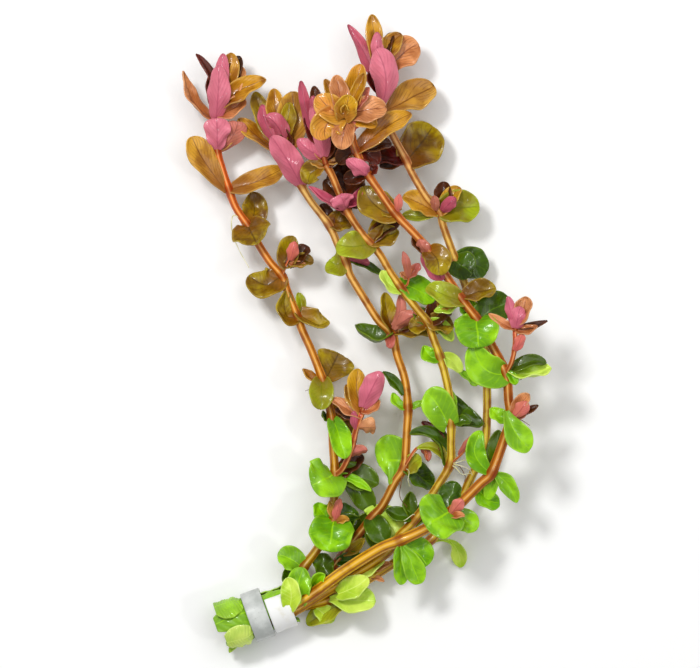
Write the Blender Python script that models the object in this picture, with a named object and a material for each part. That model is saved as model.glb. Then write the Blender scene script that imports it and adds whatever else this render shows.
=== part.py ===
"""Giant red rotala: a bunch of five cut stems of an aquatic plant, held by a band at the cut ends.

Frame: the bunch lies on the plane z = 0. +X runs across it, +Y from the band to the growing tips, +Z up.
The origin is on that plane, under the middle of the bunch's outline. Lengths below are millimetres.
"""
import math

import bmesh
import bpy
from mathutils import Vector

MM = 0.001

# Middle of the outline, in the numbers that the routes and tips below are written in.
MIDDLE = Vector((0.6, 1.4, 0.0))

# Stems: thickness at the growing tip, the thickness at the cut end, and the swelling at a node.
STEM_SIDES = 8
STEM_STEP = 6.7
STEM_TIP_RADIUS = 1.05
NODE_SWELLING = 0.25
NODE_LENGTH = 2.2
CLEARANCE = 0.6

# Leaves: thickness of the blade, how many rows of faces it has, and where the faces of each half meet, as
# a share of the half width. Each half is folded up by these shares of its fold, from the midrib out.
LEAF_THICKNESS = 0.6
LEAF_ROWS = 6
HALF_STEPS = (0.5, 1.0)
FOLD_SHARES = (0.65, 0.95)
TIP_HALF_WIDTH = 0.3

# Outline of a blade: where along it the widest place is, how full it is below that, how full above, and
# its width at the base as a share of the widest.
ROUND = (0.50, 0.7, 0.46, 0.36)
BROAD = (0.46, 0.6, 0.45, 0.50)
OVAL = (0.50, 0.75, 0.48, 0.30)
SPOON = (0.62, 1.2, 0.42, 0.20)
LANCE = (0.46, 0.8, 0.60, 0.28)
FAN = (0.78, 0.9, 0.26, 0.24)
DROP = (0.80, 4.0, 0.50, 0.20)

# Band and strip: the band's axis leans by this much from +X, and the pieces share one centre.
BAND_CENTRE = Vector((-29.5, -83.6, 7.65))
BAND_LEAN = math.radians(20)
BAND_ALONG = Vector((math.cos(BAND_LEAN), math.sin(BAND_LEAN), 0))
BAND_ACROSS = Vector((-math.sin(BAND_LEAN), math.cos(BAND_LEAN), 0))
BAND_UP = Vector((0, 0, 1))
BAND_OUTER_RADIUS = 7.65
BAND_INNER_RADIUS = 6.6
BAND_WIDTH = 6.0
BAND_SIDES = 32
STRIP_OUTER_RADIUS = 7.0
STRIP_INNER_RADIUS = 6.5
STRIP_WIDTH = 6.9
STRIP_START = 32
STRIP_TURN = 272
STRIP_STEPS = 28
RIM_ROUNDING = 0.25

# Inside the band the stems stand on a circle: the angle of each, counted from straight up.
BUNDLE_RADIUS = 3.1
BUNDLE_ANGLES = {"d": 0, "a": 72, "b": 144, "e": 216, "c": 288}
BUNDLE_RADII = {"d": 1.75, "a": 1.35, "b": 1.35, "e": 1.35, "c": 1.35}
CUT_END = -12.5

# Routes of the stems from the band to the tip. A point that is a node, where leaves grow, has its name.
ROUTES = {
    "a": [
        ("a9", (-18.9, -70.5, 9.2)), ("", (-14.4, -64.5, 9.5)), ("a8", (-9.9, -56.4, 9.8)),
        ("", (-9.6, -50.1, 10.0)),
        ("a7", (-9.3, -42.6, 10.0)), ("", (-9.9, -33.6, 10.0)), ("a6", (-10.2, -26.1, 10.0)),
        ("", (-11.1, -21.6, 10.0)), ("a5", (-12.9, -14.4, 10.0)), ("", (-16.2, -5.7, 10.0)),
        ("", (-18.9, 0.3, 10.0)), ("a4", (-20.7, 5.1, 10.0)), ("", (-23.7, 12.9, 10.0)),
        ("a3", (-25.2, 17.1, 10.0)),
        ("", (-28.8, 21.3, 10.0)), ("", (-32.7, 27.3, 10.0)), ("a2", (-35.4, 32.1, 10.0)),
        ("", (-39.0, 37.5, 10.0)),
        ("a1", (-41.1, 42.9, 10.2)), ("", (-43.2, 49.5, 10.5)), ("a0", (-44.7, 54.9, 10.8)),
        ("a_head", (-45.3, 64.2, 11.0)),
    ],
    "b": [
        ("", (-12.3, -72.6, 6.2)), ("", (-4.8, -63.6, 7.5)), ("", (1.8, -55.5, 9.0)),
        ("", (5.1, -51.6, 10.0)),
        ("", (8.7, -44.7, 11.5)), ("b6", (11.4, -40.5, 12.2)), ("", (12.0, -35.1, 12.6)),
        ("", (12.3, -29.1, 13.0)),
        ("b5", (12.6, -22.5, 13.0)), ("", (11.7, -14.1, 13.0)), ("", (9.3, -6.6, 13.0)),
        ("b4", (7.8, -0.3, 13.0)),
        ("", (3.6, 3.9, 13.0)), ("", (-1.2, 11.4, 13.0)), ("", (-4.8, 17.4, 13.0)),
        ("b3", (-6.0, 21.3, 13.0)),
        ("", (-8.4, 26.4, 13.0)), ("b2", (-11.1, 32.4, 13.0)), ("", (-16.2, 39.0, 13.2)),
        ("b0", (-19.5, 44.4, 13.5)),
        ("", (-22.2, 50.4, 13.5)), ("b_head", (-24.6, 55.5, 13.3)),
    ],
    "c": [
        ("", (-10.8, -77.1, 8.8)), ("", (5.7, -66.6, 10.5)), ("", (10.2, -60.6, 11.3)),
        ("", (14.7, -56.1, 12.3)),
        ("", (21.3, -46.2, 14.5)), ("c8", (25.2, -39.3, 15.5)), ("", (25.5, -33.0, 16.2)),
        ("c7", (25.5, -27.0, 16.5)),
        ("", (24.9, -18.6, 16.8)), ("", (23.7, -12.6, 17.0)), ("c6", (22.2, -7.2, 17.0)),
        ("", (19.8, -0.6, 17.0)),
        ("c5", (18.6, 3.0, 17.2)), ("", (13.8, 9.0, 17.4)), ("c4", (10.5, 13.5, 17.6)),
        ("", (7.2, 18.3, 17.8)),
        ("", (4.2, 23.4, 18.0)), ("c3", (1.2, 27.0, 18.2)), ("", (-1.2, 29.7, 18.4)),
        ("c2", (-6.0, 37.2, 18.6)),
        ("", (-9.9, 46.5, 19.2)), ("c1", (-12.0, 50.4, 19.6)),
    ],
    "d": [
        ("", (-22.2, -82.2, 11.4)), ("", (-14.4, -77.1, 13.0)), ("", (-6.3, -71.1, 15.0)),
        ("", (4.2, -64.5, 17.5)),
        ("d11", (10.2, -62.1, 18.8)), ("", (18.6, -58.2, 20.6)), ("d10", (25.2, -53.7, 22.0)),
        ("", (34.2, -45.0, 23.6)), ("d9", (37.5, -41.7, 24.2)), ("", (41.1, -32.1, 25.0)),
        ("d8", (43.2, -25.5, 25.4)),
        ("", (42.6, -20.1, 25.6)), ("d7", (41.7, -12.0, 25.8)), ("", (37.2, -3.0, 26.0)),
        ("d6", (33.3, 3.9, 26.0)),
        ("d5", (28.5, 10.2, 26.0)), ("", (23.1, 18.3, 25.8)), ("d4", (19.2, 24.3, 25.6)),
        ("", (14.7, 29.4, 25.6)),
        ("d3", (8.7, 35.7, 25.6)), ("", (3.6, 42.9, 25.8)), ("d2", (0.6, 47.4, 26.0)),
        ("d1", (-3.0, 54.3, 26.2)),
        ("", (-4.5, 59.4, 26.4)),
    ],
    "e": [
        ("", (-10.8, -80.1, 5.6)), ("", (0.6, -74.1, 6.6)), ("", (8.7, -69.0, 7.2)),
        ("e6", (19.2, -62.4, 8.0)),
        ("", (26.7, -53.1, 9.0)), ("", (31.2, -44.1, 10.0)), ("e5", (35.4, -34.5, 10.6)),
        ("", (36.3, -25.0, 11.0)),
        ("", (36.3, -15.6, 11.0)), ("", (36.0, -5.1, 11.0)), ("", (33.6, 4.5, 11.0)),
        ("", (30.3, 12.9, 11.2)),
        ("e3", (27.3, 21.0, 11.5)), ("", (25.2, 26.4, 11.8)), ("", (23.1, 32.4, 12.0)),
        ("e2", (22.2, 36.3, 12.2)),
        ("", (18.3, 40.5, 12.4)), ("", (14.1, 47.4, 12.8)), ("e1", (12.0, 51.9, 13.0)),
        ("", (7.2, 60.9, 13.6)),
        ("e0", (5.1, 66.3, 14.0)), ("e_head", (4.2, 72.3, 14.6)),
    ],
}

# Side branches: the node that each grows from, its points from there on, and its thickness at both ends.
BRANCHES = {
    "branch_a": ("a7", [(-6.9, -40.5, 12.6), (-4.5, -35.1, 14.5), (-3.0, -29.1, 16.0),
                        (-1.2, -24.0, 17.0)], 0.9),
    "branch_d": ("d7", [(43.5, -8.4, 28.6), (44.4, -3.6, 29.6), (44.4, 0.6, 30.0)], 0.7),
}

# Heads of young leaves: points up the middle, each with its half width across and its half height.
HEADS = {
    "head_a": [
        ((-45.3, 65.6, 11.1), 1.8, 1.8), ((-44.8, 69.0, 11.3), 3.6, 3.2), ((-43.8, 72.5, 11.4), 4.4, 3.8),
        ((-42.6, 76.5, 11.4), 4.2, 3.8), ((-41.2, 81.0, 11.4), 3.2, 3.0), ((-40.4, 84.6, 11.4), 1.2, 1.4),
    ],
    "head_b": [
        ((-25.2, 57.0, 13.2), 1.8, 1.8), ((-25.8, 60.0, 12.9), 3.8, 3.2), ((-26.2, 63.5, 12.6), 4.8, 3.8),
        ((-26.4, 69.0, 12.4), 4.2, 3.4), ((-26.4, 73.2, 12.2), 1.6, 1.6),
    ],
    "head_c": [
        ((-13.2, 54.4, 19.9), 1.5, 1.5), ((-14.2, 59.0, 20.4), 2.8, 2.8), ((-16.0, 64.8, 20.8), 3.0, 3.0),
        ((-17.4, 70.5, 21.0), 2.6, 2.6), ((-18.3, 75.6, 21.0), 1.0, 1.2),
    ],
    "head_d": [
        ((-5.6, 56.2, 30.6), 2.6, 1.6), ((-7.4, 60.6, 30.0), 5.6, 3.0), ((-8.0, 66.6, 29.6), 6.4, 3.8),
        ((-6.6, 72.0, 29.0), 6.0, 3.8), ((-4.2, 76.6, 28.2), 3.4, 3.0), ((-2.0, 79.6, 27.6), 1.2, 1.4),
    ],
    "head_e": [
        ((4.1, 73.8, 14.7), 1.8, 1.8), ((3.9, 77.5, 14.8), 3.6, 3.2), ((3.6, 82.5, 14.8), 4.4, 3.8),
        ((2.6, 89.0, 14.6), 3.4, 3.0), ((1.8, 95.8, 14.2), 1.3, 1.3),
    ],
    "head_branch_a": [
        ((-0.6, -20.6, 17.6), 1.0, 1.0), ((-0.4, -16.8, 18.2), 3.2, 2.6), ((0.4, -13.2, 18.6), 4.0, 3.0),
        ((1.6, -11.2, 18.8), 2.0, 1.6),
    ],
    "head_branch_d": [
        ((44.7, 3.6, 30.4), 1.0, 1.0), ((45.3, 6.4, 30.6), 2.6, 2.4), ((45.0, 9.6, 30.6), 2.6, 2.4),
        ((43.5, 12.0, 30.4), 1.0, 1.0),
    ],
}

# Large leaves: the node or point that each grows from, its tip, its width, the direction that its upper side
# looks in, the degrees that its two halves are folded up, how far its midrib bows out of the straight line,
# its outline, and its tone.
LEAVES = {
    "a0_left": ("a_head", (-54.9, 78.6, 10.0), 5.6, (0.7, 0.45, 0.5), 26, (-1.6, -1.3, 0.0), LANCE, "tan"),
    "a0_right": ("a_head", (-30.0, 75.9, 11.0), 7.0, (-0.1, 0.35, 0.9), 34,
                 (1.6, -1.7, -1.0), LANCE, "gold"),
    "a1_left": ("a1", (-52.2, 58.8, 12.0), 8.4, (0.25, 0.2, 1.0), 20, (-1.3, 0.6, 1.0), SPOON, "gold"),
    "a1_right": ("a1", (-24.9, 49.4, 9.0), 7.2, (0.1, 0.5, 0.85), 28, (0.3, -0.6, 1.5), OVAL, "gold"),
    "a2_back": ("a2", (-34.2, 42.2, 6.5), 8.2, (0.1, 0.1, 1.0), 22, (0.9, -0.3, -1.0), ROUND, "olive"),
    "a2_front": ("a2", (-32.7, 26.7, 17.5), 12.6, (-0.2, 0.5, 0.7), 26, (0.3, -0.5, 0.5), ROUND, "olive"),
    "a3_left": ("a3", (-34.8, 17.4, 11.0), 10.0, (-0.05, 0.3, 0.95), 24,
                (-0.3, -2.4, 0.6), ROUND, "olive"),
    "a5_right": ("a5", (-8.7, -7.2, 5.6), 12.4, (0.2, 0.1, 0.95), 14, (0.0, 0.0, -1.0), FAN, "olive"),
    "a7_left": ("a7", (-16.2, -44.7, 15.0), 14.4, (-0.2, 0.1, 0.95), 18, (0.3, 0.0, 1.4), ROUND, "green"),
    "a8_front": ("a8", (-11.1, -65.4, 15.5), 13.8, (-0.05, 0.4, 0.9), 20, (0.0, 0.0, 1.5), ROUND, "green"),
    "a9_left": ("a9", (-26.4, -66.6, 11.0), 7.8, (-0.1, 0.35, 0.95), 24, (0.0, 0.6, 0.5), ROUND, "green"),
    "b0_front": ("b0", (-28.2, 58.8, 21.0), 8.4, (0.15, 0.25, -1.0), 30, (0.6, -0.3, 1.6), OVAL, "pink"),
    "b0_left": ("b_head", (-38.4, 64.2, 9.5), 7.0, (0.2, 0.5, 0.8), 26, (-0.6, -0.9, -1.2), OVAL, "gold"),
    "b4_left": ("b4", (-3.0, 2.4, 12.0), 10.5, (0.15, 0.8, 0.5), 50, (-0.3, -2.8, 0.0), ROUND, "green"),
    "b6_left": ((9.3, -37.2, 9.2), (3.6, -37.8, 9.0), 16.0, (0.25, 0.0, 0.95), 6,
                (0.0, 0.0, -0.3), BROAD, "green"),
    "b6_right": ("b6", (19.8, -46.2, 8.0), 8.0, (0.2, 0.4, 0.85), 26, (0.0, 0.4, 0.0), ROUND, "moss"),
    "c2_back": ("c2", (-7.5, 51.0, 13.5), 13.6, (0.05, 0.15, 1.0), 28, (0.0, 0.0, -3.4), ROUND, "brown"),
    "c3_left": ("c3", (-8.7, 26.4, 21.0), 9.4, (0.0, 0.35, 0.95), 22, (0.0, -0.6, 1.6), ROUND, "sage"),
    "c4_right": ("c4", (20.1, 9.3, 15.0), 8.6, (-0.1, 0.45, 0.9), 24, (0.3, 0.9, -0.4), ROUND, "green"),
    "c7_left": ("c7", (18.0, -17.7, 19.8), 10.0, (-0.1, 0.15, 1.0), 22, (-0.2, 1.3, 1.0), ROUND, "green"),
    "c7_right": ("c7", (30.6, -22.2, 12.0), 14.0, (0.15, 0.2, 0.95), 14, (0.0, 0.0, -0.6), FAN, "moss"),
    "d1_right": ("d1", (13.5, 65.4, 23.0), 7.6, (-0.2, 0.5, 0.85), 26, (0.0, 1.2, 0.6), OVAL, "gold"),
    "d3_left": ("d3", (-0.6, 43.8, 21.5), 10.2, (0.15, 0.35, 0.95), 24,
                (-1.2, -1.2, -0.6), ROUND, "olive"),
    "d5_left": ("d5", (18.3, 13.8, 28.0), 7.8, (0.1, 0.4, 0.9), 30, (0.0, -0.3, 1.8), ROUND, "sage"),
    "d5_right": ("d5", (38.7, 13.2, 24.5), 8.0, (0.0, 0.55, 0.85), 36, (0.0, 0.3, 0.0), OVAL, "olive"),
    "d6_front": ("d6", (33.6, -4.2, 31.0), 13.4, (0.0, 0.4, 0.9), 22, (0.0, 0.0, 1.8), ROUND, "green"),
    "d7_left": ("d7", (32.1, -3.6, 29.5), 10.6, (-0.1, 0.2, 0.97), 24, (-1.2, -2.4, 0.8), ROUND, "green"),
    "d7_right": ("d7", (55.2, -10.5, 25.5), 9.0, (0.0, 0.75, 0.6), 42, (0.3, -1.2, 0.0), OVAL, "green"),
    "d8_front": ((41.9, -23.4, 27.6), (48.0, -34.5, 29.0), 8.6, (0.0, 0.3, 0.95), 26,
                 (-0.6, -0.9, 1.2), OVAL, "green"),
    "d9_left": ("d9", (34.5, -29.4, 25.5), 6.6, (0.2, 0.0, 0.97), 24, (-3.0, -0.5, 0.6), OVAL, "green"),
    "d9_right": ("d9", (45.0, -50.7, 21.5), 5.4, (-0.3, 0.2, 0.9), 28, (0.8, 0.9, 0.0), LANCE, "green"),
    "d10_left": ("d10", (18.0, -57.6, 26.5), 15.6, (-0.2, 0.2, 0.95), 22,
                 (-0.3, 0.0, 1.2), BROAD, "green"),
    "d11_under": ("d11", (18.3, -69.6, 14.6), 10.0, (0.1, 0.3, 0.95), 22, (0.7, 0.3, -0.5), OVAL, "green"),
    "e0_right": ((7.8, 79.0, 12.0), (15.6, 86.7, 10.6), 10.0, (-0.1, 0.2, 1.0), 22,
                 (-0.3, 0.9, 0.0), SPOON, "tan"),
    "e1_right": ("e0", (20.4, 74.1, 8.5), 11.0, (-0.15, 0.3, 0.95), 24, (-0.4, -0.3, 0.0), SPOON, "gold"),
    "e1_lower": ("e1", (20.7, 60.6, 5.0), 13.0, (0.1, 0.15, 1.0), 24, (0.3, 0.0, 0.0), ROUND, "olive"),
    "e2_right": ("e2", (33.9, 37.8, 9.5), 11.0, (0.0, 0.25, 0.95), 26, (0.0, 0.3, 0.0), ROUND, "sage"),
    "e3_right": ("e3", (36.3, 18.6, 6.5), 10.4, (0.1, 0.3, 0.95), 22, (0.0, 0.6, 0.0), ROUND, "moss"),
    "e6_drop": ("e6", (28.5, -70.5, 1.5), 5.6, (0.0, 0.2, 1.0), 22, (1.8, 3.6, 0.0), DROP, "lime"),
    "base_lime": ((-8.7, -80.4, 8.6), (2.7, -80.4, 11.0), 9.0, (0.0, 0.35, 0.9), 24,
                  (0.0, 0.0, 1.0), SPOON, "lime"),
}

# Base leaves run along the stems through the band. Each has a middle angle, a half angle and two ends. Then
# how far along the band's axis and how far out from it they bulge.
BASE_LEAVES = {
    "leaf_base_front": (20, 44, -16.0, 10.5),
    "leaf_base_back": (142, 46, -14.5, 8.5),
    "leaf_base_under": (262, 44, -15.0, 8.0),
}
BASE_LEAF_BULGE = [
    (-16.5, 4.9), (-12.5, 6.2), (-8.5, 6.8), (-6.2, 5.75), (7.4, 5.75), (8.8, 6.8), (12.0, 8.0),
]

# Leaf tones that share the material of another tone.
TONE_SLOTS = {"rose": "pink", "ochre": "gold", "sage": "olive", "moss": "dark"}

# Tones of the materials: base colour and roughness.
TONES = {
    "leaf_pink": ((0.62, 0.16, 0.22), 0.35),
    "leaf_tan": ((0.55, 0.22, 0.08), 0.35),
    "leaf_gold": ((0.45, 0.24, 0.03), 0.35),
    "leaf_olive": ((0.22, 0.19, 0.01), 0.30),
    "leaf_brown": ((0.10, 0.02, 0.005), 0.30),
    "leaf_green": ((0.14, 0.42, 0.01), 0.25),
    "leaf_lime": ((0.40, 0.60, 0.06), 0.30),
    "leaf_dark": ((0.03, 0.09, 0.01), 0.30),
    "stem": ((0.60, 0.24, 0.06), 0.35),
    "band_grey": ((0.55, 0.57, 0.55), 0.45),
    "strip_white": ((0.82, 0.82, 0.80), 0.50),
}


def clear_scene():
    for thing in list(bpy.data.objects):
        bpy.data.objects.remove(thing, do_unlink=True)


def material(tone):
    found = bpy.data.materials.get(tone)
    if found:
        return found
    colour, roughness = TONES[tone]
    made = bpy.data.materials.new(tone)
    made.use_nodes = True
    shader = made.node_tree.nodes["Principled BSDF"]
    shader.inputs["Base Color"].default_value = (*colour, 1)
    shader.inputs["Roughness"].default_value = roughness
    shader.inputs["Metallic"].default_value = 0
    return made


def add_object(name, points, faces, tone):
    """One closed solid from points in millimetres, with its faces turned outwards."""
    mesh = bpy.data.meshes.new(name)
    mesh.from_pydata([(point - MIDDLE) * MM for point in points], [], faces)
    shape = bmesh.new()
    shape.from_mesh(mesh)
    bmesh.ops.triangulate(shape, faces=shape.faces)
    bmesh.ops.recalc_face_normals(shape, faces=shape.faces)
    shape.to_mesh(mesh)
    shape.free()
    mesh.materials.append(material(tone))
    mesh.shade_smooth()
    mesh.set_sharp_from_angle(angle=math.radians(40))
    solid = bpy.data.objects.new(name, mesh)
    bpy.context.scene.collection.objects.link(solid)
    return solid


def smooth_curve(points, step):
    """Points a step apart on the Catmull-Rom curve through the given points."""
    ends = [2 * points[0] - points[1], *points, 2 * points[-1] - points[-2]]
    fine = []
    for before, start, end, after in zip(ends, ends[1:], ends[2:], ends[3:]):
        for k in range(10):
            t = k / 10
            fine.append(0.5 * (2 * start + (end - before) * t
                               + (2 * before - 5 * start + 4 * end - after) * t ** 2
                               + (3 * start - 3 * end + after - before) * t ** 3))
    fine.append(points[-1])
    lengths = [0.0]
    for start, end in zip(fine, fine[1:]):
        lengths.append(lengths[-1] + (end - start).length)
    count = max(2, round(lengths[-1] / step))
    placed = []
    k = 0
    for i in range(count + 1):
        target = lengths[-1] * i / count
        while k < len(fine) - 2 and lengths[k + 1] < target:
            k += 1
        span = lengths[k + 1] - lengths[k]
        placed.append(fine[k].lerp(fine[k + 1], (target - lengths[k]) / span if span else 0))
    return placed


def loft(rings):
    """Points and faces of a closed solid through rings of equal point counts, with flat ends."""
    sides = len(rings[0])
    points = [point for ring in rings for point in ring]
    faces = [tuple(range(sides))[::-1]]
    for i in range(len(rings) - 1):
        for j in range(sides):
            k = (j + 1) % sides
            faces.append((i * sides + j, i * sides + k, (i + 1) * sides + k, (i + 1) * sides + j))
    faces.append(tuple(range((len(rings) - 1) * sides, len(rings) * sides)))
    return points, faces


def tube(points, radii):
    """A round bar along the points, its rings turned as little as possible from one to the next."""
    side = Vector((1, 0, 0))
    rings = []
    for i, (point, radius) in enumerate(zip(points, radii)):
        ahead = points[min(i + 1, len(points) - 1)] - points[max(i - 1, 0)]
        ahead.normalize()
        side = (side - ahead * side.dot(ahead)).normalized()
        other = ahead.cross(side)
        ring = []
        for j in range(STEM_SIDES):
            angle = math.tau * j / STEM_SIDES
            ring.append(point + radius * (math.cos(angle) * side + math.sin(angle) * other))
        rings.append(ring)
    return loft(rings)


def band_point(along, radius, degrees):
    """A point near the band: how far along its axis, how far out, and the angle from straight up."""
    angle = math.radians(degrees)
    return (BAND_CENTRE + BAND_ALONG * along
            + BAND_ACROSS * (radius * math.sin(angle)) + BAND_UP * (radius * math.cos(angle)))


def stem_points(letter):
    """The whole route of a stem, from its cut end through the band to its tip."""
    angle = BUNDLE_ANGLES[letter]
    inside = [band_point(along, BUNDLE_RADIUS, angle) for along in (CUT_END, -5.0, 2.0, 6.5)]
    return inside + [Vector(point) for _, point in ROUTES[letter]]


def stem_radius(letter, share):
    """Thickness falls evenly from the cut end to the tip."""
    return BUNDLE_RADII[letter] + (STEM_TIP_RADIUS - BUNDLE_RADII[letter]) * share


def node_places():
    """Each node's point, the direction up its stem there, and the stem's radius with the swelling."""
    places = {}
    for letter, route in ROUTES.items():
        points = stem_points(letter)
        first = len(points) - len(route)
        for i, (name, _) in enumerate(route):
            if name:
                here = first + i
                ahead = points[min(here + 1, len(points) - 1)] - points[here - 1]
                share = here / (len(points) - 1)
                places[name] = (points[here], ahead.normalized(), stem_radius(letter, share) + NODE_SWELLING)
    return places


def make_stems(places):
    for letter, route in ROUTES.items():
        points = smooth_curve(stem_points(letter), STEM_STEP)
        nodes = [places[name][0] for name, _ in route if name]
        radii = []
        for i, point in enumerate(points):
            nearest = min((point - node).length for node in nodes)
            swelling = NODE_SWELLING * math.exp(-(nearest / NODE_LENGTH) ** 2)
            radii.append(stem_radius(letter, i / (len(points) - 1)) + swelling)
        add_object(f"stem_{letter}", *tube(points, radii), "stem")


def make_branches(places):
    for name, (node, route, radius) in BRANCHES.items():
        start, _, stem = places[node]
        first = Vector(route[0])
        outward = (first - start).normalized()
        points = [start + outward * (stem + CLEARANCE + radius)] + [Vector(point) for point in route]
        points = smooth_curve(points, STEM_STEP / 2)
        add_object(name, *tube(points, [radius] * len(points)), "stem")


def make_heads():
    for name, rings in HEADS.items():
        middle = [Vector(point) for point, _, _ in rings]
        loops = []
        for i, (_, half_width, half_height) in enumerate(rings):
            ahead = (middle[min(i + 1, len(middle) - 1)] - middle[max(i - 1, 0)]).normalized()
            side = ahead.cross(BAND_UP).normalized()
            up = side.cross(ahead)
            loop = []
            for j in range(10):
                angle = math.tau * j / 10
                out = side * (half_width * math.cos(angle)) + up * (half_height * math.sin(angle))
                loop.append(middle[i] + out)
            loops.append(loop)
        add_object(name, *loft(loops), "leaf_tan")


def half_width(share, width, outline):
    """Half the blade's width at a share of its length."""
    widest, lower, upper, base = outline
    if share < widest:
        full = base + (1 - base) * math.sin(math.pi / 2 * share / widest) ** lower
    else:
        full = max(0.0, math.cos(math.pi / 2 * (share - widest) / (1 - widest))) ** upper
    return max(width / 2 * full, TIP_HALF_WIDTH)


def folded_half(fold):
    """Across half a blade: how far out and up each point is, in half widths, and the slope there."""
    places = [(0.0, 0.0, 0.0)]
    out = 0.0
    lift = 0.0
    before = 0.0
    slopes = [math.radians(fold * share) for share in FOLD_SHARES]
    slopes.append(slopes[-1])
    for step, slope, after in zip(HALF_STEPS, slopes, slopes[1:]):
        out += (step - before) * math.cos(slope)
        lift += (step - before) * math.sin(slope)
        before = step
        places.append((out, lift, (slope + after) / 2))
    return places


def blade(base, tip, width, face, fold, sag, outline):
    """Rows of points over the middle of a blade, each with the direction that its upper side looks in."""
    chord = tip - base
    half_places = folded_half(fold)
    both = [(-out, lift, -slope) for out, lift, slope in reversed(half_places[1:])] + half_places
    rows = []
    for i in range(LEAF_ROWS + 1):
        share = (1 - math.cos(math.pi * i / LEAF_ROWS)) / 2
        middle = base + chord * share + sag * (4 * share * (1 - share))
        ahead = (chord + sag * (4 * (1 - 2 * share))).normalized()
        upward = (face - ahead * face.dot(ahead)).normalized()
        across = ahead.cross(upward)
        half = half_width(share, width, outline)
        row = []
        for out, lift, slope in both:
            normal = upward * math.cos(slope) - across * math.sin(slope)
            row.append((middle + across * (half * out) + upward * (half * lift), normal))
        rows.append(row)
    return rows


def thicken(rows, thickness):
    """Points and faces of the closed solid that is half a thickness to each side of the rows."""
    count = len(rows[0])
    points = [point + normal * (thickness / 2) for row in rows for point, normal in row]
    points += [point - normal * (thickness / 2) for row in rows for point, normal in row]
    below = len(rows) * count
    faces = []
    for i in range(len(rows) - 1):
        for j in range(count - 1):
            corner = i * count + j
            quad = (corner, corner + 1, corner + count + 1, corner + count)
            faces.append(quad)
            faces.append(tuple(below + k for k in reversed(quad)))
    rim = [j for j in range(count)]
    rim += [i * count + count - 1 for i in range(1, len(rows))]
    rim += [(len(rows) - 1) * count + j for j in range(count - 2, -1, -1)]
    rim += [i * count for i in range(len(rows) - 2, 0, -1)]
    for start, end in zip(rim, rim[1:] + rim[:1]):
        faces.append((end, start, below + start, below + end))
    return points, faces


def leaf_base(origin, tip, sag, places):
    """Where a leaf starts: a point, or just clear of the side of a node that its midrib leaves from."""
    if not isinstance(origin, str):
        return Vector(origin)
    centre, up_stem, radius = places[origin]
    outward = tip - centre + 2 * sag
    outward = (outward - up_stem * outward.dot(up_stem)).normalized()
    return centre + outward * (radius + CLEARANCE + LEAF_THICKNESS / 2)


def make_leaves(places):
    for name, (origin, tip, width, face, fold, sag, outline, tone) in LEAVES.items():
        tip = Vector(tip)
        face = Vector(face)
        sag = Vector(sag)
        base = leaf_base(origin, tip, sag, places)
        rows = blade(base, tip, width, face, fold, sag, outline)
        add_object(f"leaf_{name}", *thicken(rows, LEAF_THICKNESS), f"leaf_{TONE_SLOTS.get(tone, tone)}")


def bulge(along):
    """How far a base leaf lies from the band's axis."""
    for (start, low), (end, high) in zip(BASE_LEAF_BULGE, BASE_LEAF_BULGE[1:]):
        if along <= end:
            return low + (high - low) * max(0.0, (along - start) / (end - start))
    return BASE_LEAF_BULGE[-1][1]


def make_base_leaves():
    rows_count = 10
    columns = 4
    for name, (middle, half_angle, start, end) in BASE_LEAVES.items():
        rows = []
        for i in range(rows_count + 1):
            share = i / rows_count
            along = start + (end - start) * share
            fullness = max(0.25, math.sin(math.pi * (0.08 + 0.84 * share)) ** 0.45)
            row = []
            for j in range(columns + 1):
                degrees = middle + half_angle * fullness * (2 * j / columns - 1)
                point = band_point(along, bulge(along), degrees)
                row.append((point, band_point(along, bulge(along) + 1, degrees) - point))
            rows.append(row)
        add_object(name, *thicken(rows, LEAF_THICKNESS), "leaf_lime")


def make_band():
    """A short ring with rounded rims. A flat side of it lies on the plane z = 0."""
    outer = BAND_OUTER_RADIUS / math.cos(math.pi / BAND_SIDES)
    low = -BAND_WIDTH - 0.2
    high = -0.2
    profile = [(low + RIM_ROUNDING, outer), (high - RIM_ROUNDING, outer), (high, outer - RIM_ROUNDING),
               (high, BAND_INNER_RADIUS), (low, BAND_INNER_RADIUS), (low, outer - RIM_ROUNDING)]
    rings = []
    for i in range(BAND_SIDES):
        degrees = 360 * (i + 0.5) / BAND_SIDES
        rings.append([band_point(along, radius, degrees) for along, radius in profile])
    points = [point for ring in rings for point in ring]
    size = len(profile)
    faces = []
    for i in range(BAND_SIDES):
        after = (i + 1) % BAND_SIDES
        for j in range(size):
            k = (j + 1) % size
            faces.append((i * size + j, i * size + k, after * size + k, after * size + j))
    add_object("band_grey", points, faces, "band_grey")


def make_strip():
    """A strip wrapped most of the way round, open where the base leaf comes out."""
    low = 0.25
    high = low + STRIP_WIDTH
    rings = []
    for i in range(STRIP_STEPS + 1):
        degrees = STRIP_START - STRIP_TURN * i / STRIP_STEPS
        corners = [(low, STRIP_INNER_RADIUS), (high, STRIP_INNER_RADIUS),
                   (high, STRIP_OUTER_RADIUS), (low, STRIP_OUTER_RADIUS)]
        rings.append([band_point(along, radius, degrees) for along, radius in corners])
    add_object("strip_white", *loft(rings), "strip_white")


def main():
    clear_scene()
    places = node_places()
    make_stems(places)
    make_branches(places)
    make_heads()
    make_leaves(places)
    make_base_leaves()
    make_band()
    make_strip()


main()
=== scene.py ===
"""Giant red rotala: the looks of a bunch of five cut stems of an aquatic plant, held by a band, lying down.

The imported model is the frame. Each of its leaves, stems, the band and the strip gets a finer piece in its
place. Small leaves, buds, side shoots and root threads, which have no node, grow from the stems' nodes.
Lengths in the tables are millimetres, in the numbers that the stems' routes are written in.
"""

import math
import random
from collections import namedtuple

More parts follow.
